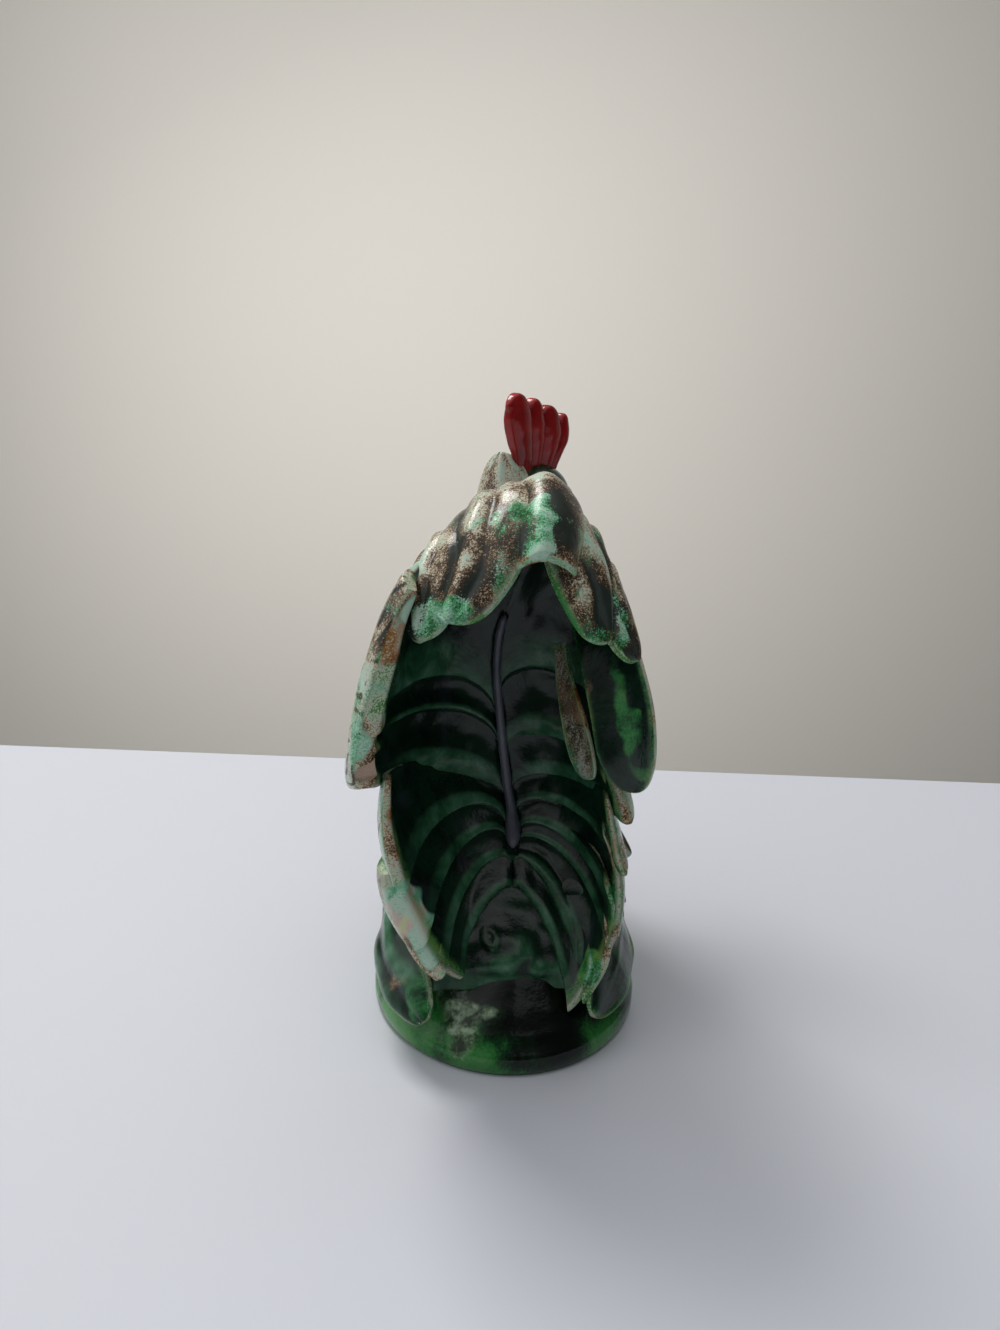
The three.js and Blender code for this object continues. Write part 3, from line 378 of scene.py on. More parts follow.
class Glaze:
    """A material and short ways to add its nodes."""

    def __init__(self, name, roughness=0.2, coat=0.6):
        self.material = bpy.data.materials.new(name)
        self.material.use_nodes = True
        self.nodes = self.material.node_tree.nodes
        self.links = self.material.node_tree.links
        self.shader = self.nodes["Principled BSDF"]
        self.shader.inputs["Roughness"].default_value = roughness
        self.shader.inputs["Coat Weight"].default_value = coat
        self.shader.inputs["Coat Roughness"].default_value = 0.05
        self.object = self.nodes.new("ShaderNodeTexCoord").outputs["Object"]

    def stretch(self, x, y, z, move=0.0):
        node = self.nodes.new("ShaderNodeMapping")
        node.inputs["Scale"].default_value = (x, y, z)
        node.inputs["Location"].default_value = (move, move, move)
        self.links.new(self.object, node.inputs["Vector"])
        return node.outputs["Vector"]

    def noise(self, scale, detail=3.0, vector=None, distortion=0.0, rough=0.5):
        node = self.nodes.new("ShaderNodeTexNoise")
        node.inputs["Scale"].default_value = scale
        node.inputs["Detail"].default_value = detail
        node.inputs["Distortion"].default_value = distortion
        node.inputs["Roughness"].default_value = rough
        self.links.new(vector or self.object, node.inputs["Vector"])
        return node.outputs["Fac"]

    def field(self, name):
        node = self.nodes.new("ShaderNodeAttribute")
        node.attribute_name = name
        return node.outputs["Fac"]

    def math(self, kind, a, b=0.0):
        node = self.nodes.new("ShaderNodeMath")
        node.operation = kind
        for socket, value in zip(node.inputs, (a, b)):
            if isinstance(value, (int, float)):
                socket.default_value = value
            else:
                self.links.new(value, socket)
        return node.outputs[0]

    def around(self, value, amount):
        """A field about 0.5, as a swing about nothing."""
        return self.math("MULTIPLY", self.math("SUBTRACT", value, 0.5), amount)

    def step(self, value, low, high):
        node = self.nodes.new("ShaderNodeMapRange")
        node.interpolation_type = "SMOOTHSTEP"
        node.inputs["From Min"].default_value = low
        node.inputs["From Max"].default_value = high
        self.links.new(value, node.inputs["Value"])
        return node.outputs["Result"]

    def ramp(self, value, stops):
        node = self.nodes.new("ShaderNodeValToRGB")
        line = node.color_ramp.elements
        line[0].position, line[0].color = stops[0]
        line[1].position, line[1].color = stops[-1]
        for position, color in stops[1:-1]:
            line.new(position).color = color
        self.links.new(value, node.inputs["Fac"])
        return node.outputs["Color"]

    def blend(self, share, a, b):
        node = self.nodes.new("ShaderNodeMix")
        node.data_type = "RGBA"
        for socket, value in zip((node.inputs[0], node.inputs[6], node.inputs[7]), (share, a, b)):
            if isinstance(value, (int, float, tuple)):
                socket.default_value = value
            else:
                self.links.new(value, socket)
        return node.outputs[2]

    def finish(self, color, bump_height, distance=0.0004, strength=0.5):
        self.links.new(color, self.shader.inputs["Base Color"])
        node = self.nodes.new("ShaderNodeBump")
        node.inputs["Distance"].default_value = distance
        node.inputs["Strength"].default_value = strength
        self.links.new(bump_height, node.inputs["Height"])
        self.links.new(node.outputs["Normal"], self.shader.inputs["Normal"])
        self.links.new(node.outputs["Normal"], self.shader.inputs["Coat Normal"])
        return self.material


DEEP = srgb(5, 14, 10)
DARK_GREEN = srgb(14, 42, 28)
# Rib colours: partly glaze that runs thin over the ribs, partly painted highlight on their lit tops.
RIB_GREEN = srgb(44, 92, 62)
RIB_PALE_HIGHLIGHT = srgb(84, 124, 102)
DARK_LEAF = srgb(16, 60, 34)
BRIGHT_GREEN = srgb(50, 132, 66)
LIME = srgb(128, 158, 84)
OCHRE = srgb(164, 114, 56)
MINT = srgb(118, 186, 148)
PALE_MINT = srgb(184, 212, 192)
CREAM = srgb(204, 194, 174)
TAN = srgb(148, 128, 100)
RUST = srgb(98, 74, 50)
UMBER = srgb(58, 48, 40)
SLATE = srgb(42, 52, 46)
CLAY = srgb(196, 170, 150)
# Painted reflection: the lavender sheen on the glaze in the hollow.
LAVENDER_SHEEN = srgb(46, 46, 58)


def feather_glaze(name, brown=0.0, green=0.0, coat=0.4, lip=0.0, line=0.0):
    """Mottled glaze outside, pooled dark green inside the hollow with a painted lavender sheen and paler ribs that are
    partly painted highlight, and pale broken glaze on the rims.
    """
    g = Glaze(name, 0.24, coat)
    g.shader.inputs["Specular IOR Level"].default_value = 0.22
    patches = g.noise(58, 6, g.stretch(1, 1, 0.55), 0.6, 0.62)
    runs = g.noise(46, 6, g.stretch(1, 1, 0.45, 0.31), 0.9, 0.6)
    shade = g.noise(70, 6, g.stretch(1, 1, 0.8, 0.77), 0.4, 0.64)
    fine, specks = g.noise(2200, 2.0), g.noise(1300, 3.0, None, 0.0, 0.7)
    crest, inside, edge = g.field("crest"), g.field("inside"), g.field("edge")
    mint, wetness, burnt = g.field("mint"), g.field("wet"), g.field("brown")
    dither = g.math("ADD", g.around(fine, 0.45), g.around(specks, 0.55))
    tone = g.math("ADD", g.math("ADD", patches, dither), g.math("MULTIPLY", burnt, 0.12))
    # Paler on crests and darker in creases: partly glaze that thins and pools, partly painted highlight and painted
    # shade.
    tone = g.math("ADD", g.math("ADD", tone, g.around(crest, -0.34)), brown)
    body = g.ramp(
        tone,
        [(0.26, PALE_MINT), (0.33, CREAM), (0.40, TAN), (0.45, RUST), (0.50, UMBER), (0.60, SLATE)],
    )
    wet = g.math("ADD", g.math("ADD", runs, g.math("MULTIPLY", dither, 0.5)), g.math("MULTIPLY", wetness, 0.14))
    wet = g.math("ADD", g.math("ADD", wet, g.math("MULTIPLY", edge, 0.18)), green)
    wet = g.math("ADD", wet, g.math("MULTIPLY", mint, 0.17))
    light = g.math("ADD", shade, g.math("MULTIPLY", mint, 0.2))
    speckled = g.math("ADD", light, dither)
    flow = g.ramp(speckled, [(0.40, DARK_LEAF), (0.50, BRIGHT_GREEN), (0.60, MINT), (0.74, PALE_MINT)])
    outside = g.blend(g.step(wet, 0.56, 0.63), body, flow)
    deep = g.ramp(g.math("ADD", shade, g.math("MULTIPLY", runs, 0.3)), [(0.46, DEEP), (0.74, DARK_GREEN)])
    # Painted sheen: lavender reflection patches over the hollow's dark green, where the runs noise is high.
    deep = g.blend(g.math("MULTIPLY", g.step(runs, 0.56, 0.64), 0.4), deep, LAVENDER_SHEEN)
    run = g.math("ADD", wetness, g.around(shade, 1.2))
    lively = g.ramp(g.math("ADD", shade, g.around(specks, 0.3)), [(0.36, DARK_LEAF), (0.52, BRIGHT_GREEN), (0.76, LIME)])
    deep = g.blend(g.step(run, 0.4, 1.0), deep, lively)
    earth = g.ramp(speckled, [(0.38, srgb(44, 34, 28)), (0.50, RUST), (0.64, TAN)])
    deep = g.blend(g.step(burnt, 0.3, 0.8), deep, earth)
    # Painted highlight on the rib crests and painted shade in the scoop under each rib, partly thin glaze over the
    # crests.
    crests = g.ramp(shade, [(0.34, DARK_GREEN), (0.52, RIB_GREEN), (0.70, RIB_PALE_HIGHLIGHT)])
    deep = g.blend(g.step(crest, 0.5, 1.0), deep, crests)
    pale = g.ramp(shade, [(0.42, MINT), (0.50, PALE_MINT), (0.56, srgb(214, 178, 172)), (0.64, srgb(206, 208, 160))])
    deep = g.blend(g.step(burnt, -0.3, -0.8), deep, pale)
    color = g.blend(g.step(inside, 0.45, 0.75), outside, deep)
    rim = g.ramp(
        speckled,
        [(0.32, BRIGHT_GREEN), (0.40, LIME), (0.46, PALE_MINT), (0.53, CREAM), (0.60, OCHRE), (0.67, UMBER)],
    )
    rust = g.ramp(speckled, [(0.34, UMBER), (0.44, srgb(142, 84, 36)), (0.58, OCHRE), (0.66, CREAM), (0.76, MINT)])
    rim = g.blend(g.step(burnt, 0.3, 0.8), rim, rust)
    rim = g.blend(g.step(burnt, -0.3, -0.8), rim, pale)
    running = g.step(g.math("ADD", g.math("ADD", wetness, mint), lip), 0.4, 0.9)
    rim = g.blend(running, rim, g.ramp(speckled, [(0.36, DARK_LEAF), (0.44, BRIGHT_GREEN), (0.54, MINT), (0.70, PALE_MINT)]))
    color = g.blend(g.math("MULTIPLY", g.step(edge, 0.12, 0.5), 0.9), color, rim)
    crisp = g.math("MULTIPLY", g.step(g.math("ADD", edge, g.around(shade, 0.7)), 0.5, 0.72), line)
    lime_line = g.ramp(speckled, [(0.36, BRIGHT_GREEN), (0.46, LIME), (0.54, MINT), (0.66, PALE_MINT)])
    color = g.blend(crisp, color, lime_line)
    border = g.math("MULTIPLY", g.step(edge, 0.03, 0.14), g.step(edge, 0.34, 0.18))
    border = g.math("MULTIPLY", g.math("MULTIPLY", border, g.step(inside, 0.5, 0.6)), 0.55)
    color = g.blend(border, color, g.ramp(speckled, [(0.38, DARK_LEAF), (0.50, BRIGHT_GREEN), (0.64, LIME)]))
    color = g.blend(g.step(g.field("chip"), 0.4, 0.6), color, g.ramp(fine, [(0.3, srgb(178, 150, 128)), (0.7, CLAY)]))
    uneven = g.math("ADD", g.math("MULTIPLY", shade, 2.0), g.math("MULTIPLY", g.noise(210, 3), 0.9))
    return g.finish(color, g.math("ADD", uneven, g.math("MULTIPLY", fine, 0.15)), 0.0005)


hood_glaze = feather_glaze("hood glaze", 0.055, -0.01, 0.07, 0.25, 0.9)
leaf_glaze = feather_glaze("leaf glaze", -0.09, 0.02, 0.25)
body_glaze = feather_glaze("body glaze", 0.03, 0.0)
print("feather glazes:", [m.name for m in (hood_glaze, leaf_glaze, body_glaze)])


# %% More glazes
def plain_glaze(name, stops, scale=60, roughness=0.2, speckle=0.0, painted_reflection=None):
    g = Glaze(name, roughness, 0.25)
    g.shader.inputs["Specular IOR Level"].default_value = 0.25
    patches = g.noise(scale, 6, g.stretch(1, 1, 0.6), 0.5, 0.58)
    fine = g.noise(600, 2)
    crest = g.field("crest")
    # Lighter on crests and darker in creases: partly glaze that thins and pools, partly painted highlight and painted
    # shade.
    tone = g.math("ADD", patches, g.math("MULTIPLY", g.math("SUBTRACT", crest, 0.5), 0.3))
    # Darker where the brown field is positive: brown glaze on most pieces, painted shadow and dark reflection on the
    # mound.
    tone = g.math("ADD", tone, g.math("MULTIPLY", g.math("MAXIMUM", g.field("brown"), 0.0), -0.16))
    tone = g.math("ADD", tone, g.math("MULTIPLY", g.field("wet"), 0.14))
    specks = g.noise(900, 3, None, 0.0, 0.7)
    tone = g.math("ADD", tone, g.around(specks, speckle))
    color = g.ramp(tone, stops)
    # A pale patch where the brown field is strongly negative; on the mound this is a painted reflection.
    if painted_reflection:
        lumps = g.math("ADD", g.noise(230, 3, None, 0.4), g.around(specks, 0.4))
        color = g.blend(g.step(g.field("brown"), -0.2, -1.0), color, g.ramp(lumps, painted_reflection))
    return g.finish(color, g.math("ADD", g.math("MULTIPLY", patches, 2.0), g.math("MULTIPLY", fine, 0.15)))


comb_glaze = plain_glaze(
    "comb glaze", [(0.2, srgb(84, 8, 10)), (0.5, srgb(150, 22, 24)), (0.8, srgb(186, 50, 46))], 40
)
mound_glaze = plain_glaze(
    "mound glaze",
    [
        (0.40, srgb(4, 9, 6)),
        (0.52, srgb(12, 32, 18)),
        (0.60, srgb(20, 60, 32)),
        (0.72, srgb(46, 120, 54)),
        (0.92, srgb(88, 148, 84)),
    ],
    48,
    speckle=0.26,
    painted_reflection=[(0.38, srgb(42, 56, 40)), (0.50, srgb(92, 114, 86)), (0.66, srgb(156, 180, 150))],
)
horn_glaze = plain_glaze(
    "horn glaze", [(0.3, srgb(120, 78, 34)), (0.55, srgb(186, 140, 66)), (0.8, srgb(206, 172, 106))], 80
)
eye_glaze = plain_glaze("eye glaze", [(0.3, srgb(6, 6, 6)), (0.8, srgb(26, 22, 20))], 80, 0.1)
wing_glaze = feather_glaze("wing glaze", 0.06, -0.05)
crest_glaze = feather_glaze("crest glaze", -0.06, -0.12)
head_glaze = plain_glaze("head glaze", [(0.3, srgb(10, 22, 16)), (0.7, srgb(22, 60, 40))], 70)
print("plain glazes are ready")

# %% [markdown]
# The mound is one hollow moulding with a rounded rim and a casting vent under the bird's body. It is
# turned from one profile, round behind and drawn out to an oval in front.

# %% The mound
MOUND_HEIGHT = 45.0
RIM_HEIGHT = 10.0
MOUND_WALL = 7.0
MOUND_EDGE = 1.5
CUP_FLOOR_Y = 2.0
CUP_RIM_Y = 47.0
FEATHER_THICKNESS = 5.0
RIM_THICKNESS = 7.0
TORSO_HALF_WIDTH = 38.0
TORSO_HALF_DEPTH = 41.0
TORSO_TOP = 147.0
TORSO_Y = CUP_FLOOR_Y - FEATHER_THICKNESS - 4 - TORSO_HALF_DEPTH
MOUND_PROFILE = [k * MOUND_HEIGHT for k in (1, 0.995, 0.93, 0.78, 0.5, 0.22)]


def oval(y):
    return np.where(y < 0, BASE_FRONT, BASE_REAR) / BASE_RADIUS


def mound_height(x, y):
    share = np.hypot(x, y / oval(y)) / BASE_RADIUS
    return np.maximum(through(MOUND_PROFILE, np.minimum(share, 1)), RIM_HEIGHT)


def make_mound():
    skin = [(BASE_RADIUS - MOUND_EDGE, 0), (BASE_RADIUS, 2.4), (BASE_RADIUS, RIM_HEIGHT - 3.2)]
    skin += [(BASE_RADIUS - 0.9, RIM_HEIGHT - 1), (BASE_RADIUS - 2.6, RIM_HEIGHT + 0.4)]
    for share in np.linspace(0.93, 0.04, 40):
        skin.append((share * BASE_RADIUS, max(float(through(MOUND_PROFILE, share)), RIM_HEIGHT + MOUND_EDGE)))
    hollow = [(0.04 * BASE_RADIUS, MOUND_HEIGHT - 9.8)]
    for share in np.linspace(0.2, 0.72, 10):
        hollow.append((share * BASE_RADIUS, float(through(MOUND_PROFILE, share)) - 1.4 * MOUND_WALL))
    hollow += [(BASE_RADIUS - MOUND_WALL, RIM_HEIGHT - 3), (BASE_RADIUS - MOUND_WALL, 0)]
    turn = np.linspace(0, 2 * np.pi, 160, endpoint=False)
    rings = []
    for radius, z in skin + hollow:
        x, y = radius * np.cos(turn), radius * np.sin(turn)
        rings.append(np.stack([x, y * oval(y), np.full_like(x, z)], -1))
    rings = np.array(rings)
    lumps = waves(rings, 30, 5) * 0.7 * smooth(rings[..., 2], 8, 16)
    rings[: len(skin), :, 2] += lumps[: len(skin)]
    count, sides = rings.shape[:2]
    index = np.arange(count * sides).reshape(count, sides)
    around = np.roll(index, -1, axis=1)
    faces = []
    for i in range(count):
        j = (i + 1) % count
        if i == len(skin) - 1:
            continue
        faces.append(np.stack([index[i], index[j], around[j], around[i]], -1))
    points = [rings.reshape(-1, 3)]
    for k, (row, flip) in enumerate(((len(skin) - 1, False), (len(skin), True))):
        points.append(rings[row].mean(0)[None])
        fan = np.stack([np.full(sides, count * sides + k), index[row], around[row], around[row]], -1)
        faces.append(fan[:, ::-1] if flip else fan)
    return np.concatenate(points), np.concatenate(faces)


mound_points, mound_faces = make_mound()
mound = piece("base_mound", mound_points, mound_faces, material=mound_glaze, spots=MOUND_SHADOW_AND_REFLECTION_SPOTS)
print("mound points:", len(mound_points))

# %% [markdown]
# The body is an egg. Wings, saddle feathers and thighs are laid over its sides further on.

# %% The body
TORSO_FOOT = float(mound_height(0, TORSO_Y - 13)) - 3
TORSO_WIDTHS = [0.3, 0.72, 0.93, 1, 1, 0.97, 0.86, 0.62, 0.12]
TORSO_DEPTHS = [0.3, 0.74, 0.95, 1.01, 1, 0.96, 0.86, 0.62, 0.14]
TORSO_LEAN = [0, 0, 0, -1, -1, 0, 2, 6, 9]


def superellipse(turn, half_width, half_depth, power):
    c, s = np.cos(turn), np.sin(turn)
    x = np.sign(c) * np.abs(c) ** (2 / power) * half_width
    y = np.sign(s) * np.abs(s) ** (2 / power) * half_depth
    return x, y


def torso_point(turn, t):
    x, y = superellipse(turn, TORSO_HALF_WIDTH * through(TORSO_WIDTHS, t), TORSO_HALF_DEPTH * through(TORSO_DEPTHS, t), 2.2)
    return np.stack([x, y + TORSO_Y + through(TORSO_LEAN, t), mix(TORSO_FOOT, TORSO_TOP, t) + 0 * x], -1)


def torso_side(y, z):
    t = np.clip((z - TORSO_FOOT) / (TORSO_TOP - TORSO_FOOT), 0, 1)
    middle = TORSO_Y + through(TORSO_LEAN, t)
    share = np.clip((y - middle) / (TORSO_HALF_DEPTH * through(TORSO_DEPTHS, t)), -0.95, 0.95)
    return float(TORSO_HALF_WIDTH * through(TORSO_WIDTHS, t) * (1 - abs(share) ** 2.2) ** (1 / 2.2))


turns, heights = np.meshgrid(np.linspace(0, 2 * np.pi, 120, endpoint=False), np.linspace(0, 1, 90))
torso_rings = torso_point(turns, heights)
torso_rings += unit(torso_rings - torso_rings.mean((0, 1))) * (0.5 * waves(torso_rings, 24, 3))[..., None]
torso = piece("torso", *closed_rings(torso_rings), material=body_glaze)

# %% [markdown]
# The rump joins the body, the mound and the backs of the tail's feathers.

# %% The rump
CUP_FOOT, CUP_TOP = 34.0, 184.0
SPINE_X = [1.5, 1.3, 0, 0, 2.4, 4.5, 6.3, 7.7, 7, 3, 0]
SPINE_Y = [37, 26, 13.5, 5, 2, 0.5, 0, 0, 1.2, 5, 12]
CUP_HALF_LEFT, CUP_HALF_RIGHT = 52.0, 40.0


def spine_at(z):
    t = (np.asarray(z, float) - CUP_FOOT) / (CUP_TOP - CUP_FOOT)
    return np.stack([through(SPINE_X, t), CUP_FLOOR_Y + through(SPINE_Y, t), np.asarray(z, float)], -1)


def make_rump():
    levels = np.array([26, 40, 50, 62, 76, 105, 135, 160], float)
    halves = [30, 31, 31, 31, 31, 30, 26, 18]
    z = through(levels, np.linspace(0, 1, 90))
    front = TORSO_Y + TORSO_HALF_DEPTH - 24
    rings = []
    for k, level in enumerate(z):
        half = float(through(halves, np.interp(level, levels, np.linspace(0, 1, 8))))
        spine = float(spine_at(level)[1])
        bed = spine - mix(2, 7, float(smooth(level, 58, 74)))
        x = np.linspace(-1, 1, 61) * half * 0.999
        cup = np.where(x > 0, CUP_HALF_LEFT, CUP_HALF_RIGHT)
        y = bed + (CUP_FLOOR_Y + CUP_RIM_Y - spine) * (1 - np.sqrt(1 - (x / cup) ** 2))
        back = np.linspace(np.pi * 0.0, np.pi, 41)
        bx = half * np.cos(back)
        by = front + 14 - 14 * np.sin(back) ** 0.8
        rings.append(np.stack([np.append(x, bx), np.append(y, by), np.full(102, level)], -1))
    return np.array(rings)


rump_rings = make_rump()
KNOBS = [
    (3.5, 41.5, 7.0, 4.5),
    (9.0, 45.0, 3.2, 2.6),
    (9.0, 45.0, 1.5, -2.6),
    (-4.0, 42.0, 5.0, 3.0),
    (-9.0, 34.0, 3.5, 2.5),
    (10.0, 36.0, 3.5, 2.0),
    (2.0, 35.0, 5.0, 2.0),
]
for x, z, size, height in KNOBS:
    reach = np.exp(-((((rump_rings[..., 0] - x) ** 2 + (rump_rings[..., 2] - z) ** 2) / size**2) ** 1.4))
    rump_rings[:, :61, 1] += (reach * height)[:, :61]
rump_rings[:, :61, 1] += 0.5 * waves(rump_rings, 9, 4)[:, :61]
rump_points, rump_faces = closed_rings(rump_rings)
rump = piece("rump", rump_points, rump_faces, inside=1.0, material=leaf_glaze)
print("body, rump:", len(torso.data.vertices), len(rump.data.vertices))

# %% [markdown]
# Each feather inside the tail is the strip between two ribs. It leaves the spine, sweeps round the
# hollow and ends on the rim. The face sinks between its ribs, so the ribs stand as crests.

# %% The feathers of the cup
RIB_RELIEF = 3.4
SKIRT_RELIEF = 2.5
SHINGLE_STEP = 2.2
SPINE_RADIUS = 1.7
ARCH_SKEW = 0.55
CUP_FEATHERS = {
    "tail_left_main_feather": ((182, 91), (5, 10, 15, 11.5, 8.5), ((36, -3, 174), (48, 3, 142), (51, 0, 115)), (0, 0.68, 0.79, 1), 7.6),
    "tail_left_feather_2": ((91, 78), (8.5, 11), ((43, -3, 112), (42, 0, 93), (38, 1, 74)), (0, 1), 6.5),
    "tail_left_feather_3": ((78, 73), (11, 7), ((39, 0, 80), (35, 1, 67), (30, 3, 55)), (0, 1), 14),
    "tail_left_feather_4": ((73, 67), (7, 3), ((33, 1, 60), (29, 2, 50), (24, 3, 42)), (0, 1), 12),
    "tail_left_feather_5": ((67, 60), (3, 0), ((26, 0, 48), (22, 0, 42), (18, -1, 38)), (0, 1), 6),
    "tail_right_feather_1": ((182, 109), (5, 9, 7), ((-24, -20, 172), (-29, -17, 138), (-27, -15, 110)), (0, 0.71, 1), 7),
    "tail_right_feather_2": ((109, 92), (7, 6), ((-26, -13, 114), (-29, -8, 107), (-32, -2, 98)), (0, 1), 6),
    "tail_right_feather_3": ((92, 83), (6, 6), ((-27, -8, 104), (-28.5, -4, 93), (-32.5, 1, 80)), (0, 1), 4),
    "tail_right_feather_4": ((83, 76), (6, 5.5), ((-27, -4, 90), (-31, -2, 75), (-32, 1, 57)), (0, 1), 4),
    "tail_right_feather_5": ((76, 72.5), (5.5, 4), ((-29, -2, 70), (-31, 0, 60), (-30, 1, 51)), (0, 1), 4),
    "tail_right_feather_6": ((72.5, 67), (4, 2), ((-29, 0, 55), (-28, 1, 42), (-23, 2, 29)), (0, 1), 4),
    "tail_right_feather_7": ((67, 60), (2, 0), ((-25, -1, 40), (-22, 1, 32), (-18, 3, 26)), (0, 1), 5),
}


BARBS = {"tail_left_main_feather": 9, "tail_left_feather_2": 4}
DARK_RIMS = {"tail_right_feather_%d" % k for k in range(1, 6)} | {"tail_left_feather_5"}


def strip_point(spine, arch, rim, S, T):
    side = np.sign(rim[0][0])
    start = spine_at(mix(spine[0], spine[1], S))
    start[..., 0] += side * SPINE_RADIUS
    upper, middle, lower = (np.array(p, float) for p in rim)
    K = S[..., None]
    end = upper * (1 - K) * (1 - 2 * K) + middle * 4 * K * (1 - K) + lower * K * (2 * K - 1)
    end = end + [0, CUP_RIM_Y, 0]
    angle = T * np.pi / 2
    swing = np.sign(angle) * np.abs(np.sin(angle)) ** 0.95
    late = np.maximum(T, 0)
    rise = through(arch, S) * np.sin(np.pi * late**ARCH_SKEW)
    z = mix(start[..., 2], end[..., 2], late**1.3) + rise
    skirt = spine_at(z)[..., 1] + SKIRT_RELIEF * (1 - smooth(z, 60, 76))
    y = np.maximum(mix(start[..., 1], end[..., 1], 1 - np.cos(angle)), skirt)
    return np.stack([mix(start[..., 0], end[..., 0], swing), y, z], -1)


def fold(ridges, S):
    """0 under each rib, rising in an S curve to 1 where the clay rolls over the next rib."""
    total = np.ones_like(S)
    for a, b in zip(ridges, ridges[1:]):
        u = (S - a) / (b - a)
        rolled = smooth(u, 0.25, 0.92) - (smooth(u, 0.95, 1.0) if b < 1 else 0)
        total = np.where((S >= a) & (S <= b), rolled, total)
    return np.where(S < 0, 0, total)


def cup_feather(node, spine, arch, rim, ridges, rim_thickness, rows=90, lap=0.05):
    cols = 56 if len(ridges) == 2 else 130
    s = mix(-lap, 1 + lap, (ends_dense(cols) + 1) / 2)
    t = mix(-0.05, 1, (ends_dense(rows) + 1) / 2)
    S, T = np.meshgrid(s, t)
    place = strip_point(spine, arch, rim, S, T)
    if node == "tail_left_main_feather":
        sag = np.sin(np.pi * np.clip((T - 0.5) / 0.5, 0, 1))
        place[..., 2] -= 3 * sag * smooth(S, 0.8, 1)
    out = unit(np.cross(np.gradient(place, t, axis=0), np.gradient(place, s, axis=1)))
    away = place - np.stack([0 * S, 0 * S + CUP_RIM_Y + 15, place[..., 2]], -1)
    out = out * np.sign((out * away).sum(-1))[..., None]
    share = np.clip((rim[0][2] - rim[2][2]) / 30, 0.5, 1)
    fade = mix(0.35, 1, smooth(T, 0, 0.2)) * (1 - 0.6 * smooth(T, 0.8, 1))
    rolled = fold(ridges, S)
    inner = RIB_RELIEF * share * (1 - rolled) * fade + 25 * np.maximum(S - 1, 0)
    inner = inner + 0.3 * waves(place, 9, len(node)) * fade
    if node == "tail_left_main_feather":
        inner = inner - 3 * smooth(T, 0.7, 0.97) * smooth(S, 0.0, 0.3)
    flat = np.clip(S, 0, 1)
    ends = 0.2 * smooth(S, 0.75, 1) + 0.4 * (1 - smooth(S, 0.05, 0.4)) if len(ridges) > 2 else 0
    at_rim = rim_thickness * (1 + ends)
    thick = mix(FEATHER_THICKNESS, at_rim, smooth(T, 0.5, 0.97)) + SHINGLE_STEP * flat
    outer = (thick + 1.5 * np.sin(np.pi * flat)) * mix(1, 0.8, smooth(T, 0.9, 1))
    barbs = 0.45 * np.abs(np.sin(T * np.pi * 7 + S)) ** 0.7 * smooth(T, 0.2, 0.5) * smooth(1 - T, 0.02, 0.12)
    outer = np.maximum(outer - barbs + 0.5 * waves(place, 20, len(node)), inner + 1.5)
    middle = place + out * ((inner + outer) / 2)[..., None]
    half = out * ((outer - inner) / 2)[..., None]
    points, faces, inside, edge = slab(
        middle, half, rounding((s - 0.5) / (0.5 + lap), 9), rounding(mix(-1, 1, (t + 0.05) / 1.05), 5)
    )
    core = (slice(1, -1), slice(1, -1))
    near_rim = smooth(T, 0.82, 0.97)
    near_rim = np.concatenate([near_rim.ravel(), near_rim[core].ravel()])
    # Painted highlight and shade for the glaze to read as its crest: high on the roll of each feather, low in the
    # scoop under the rib above it.
    roll = 0.3 + 0.7 * smooth(rolled, 0.5, 1.0) * mix(0.6, 1, fade) * (1 - 0.35 * smooth(T, 0.35, 0.9))
    strokes = BARBS.get(node, 0)
    phase = strokes * (S + 1.5 * T) + 0.8 * waves(place, 14, 5)
    barb = smooth(np.abs(np.sin(np.pi * phase)), 0.82, 0.97) * smooth(waves(place, 9, 7), -0.5, 0.4)
    outside = 0.85 - 0.85 * barb if strokes else np.full_like(S, 0.5)
    crest = np.concatenate([outside.ravel(), roll[core].ravel()])
    crest = np.where(inside > 0.5, np.concatenate([roll.ravel(), roll[core].ravel()]), crest)
    chip = 0.0
    if node == "tail_left_main_feather":
        chip = break_tip(points)
    if strokes:
        edge = edge * np.where(inside < 0.5, smooth(inside, 0.1, 0.45), 1)
    bold = 0.45 if node in DARK_RIMS else 1.0
    inside = mix(1, inside, 0.6) if node in DARK_RIMS else inside
    made = piece(node, points, faces, inside, edge * near_rim * bold, leaf_glaze, crest=crest, chip=chip)
    return made


# The lower tip of the big left feather is broken: the break is flat and shows bare clay.
BREAK_PLACE = np.array([52.3, 45.8, 119.0])
BREAK_FACE = unit(np.array([-0.25, 1.0, -0.1]))
BREAK_LONG = unit(np.cross(BREAK_FACE, np.array([0.6, 0.0, 1.0])))
BREAK_HALVES = (5.6, 3.4)


def break_tip(points):
    away = points - BREAK_PLACE
    ahead = away @ BREAK_FACE
    u, v = away @ BREAK_LONG, away @ np.cross(BREAK_FACE, BREAK_LONG)
    cut = (ahead > 0) & (np.hypot(u / BREAK_HALVES[0], v / BREAK_HALVES[1]) < 1)
    points[cut] -= BREAK_FACE * ahead[cut, None]
    return np.where(cut, 1.0, 0.0)


for node, values in CUP_FEATHERS.items():
    cup_feather(node, *values)
print("cup feathers:", len(CUP_FEATHERS))

# %% [markdown]
# The crown feather closes the top of the hood. Its back rises from the body and its lip hangs over
# the hollow, so the two faces follow two different lines.

# %% The crown
CROWN_HEIGHT = 213.0
CROWN_HALF_WIDTH = 15.0


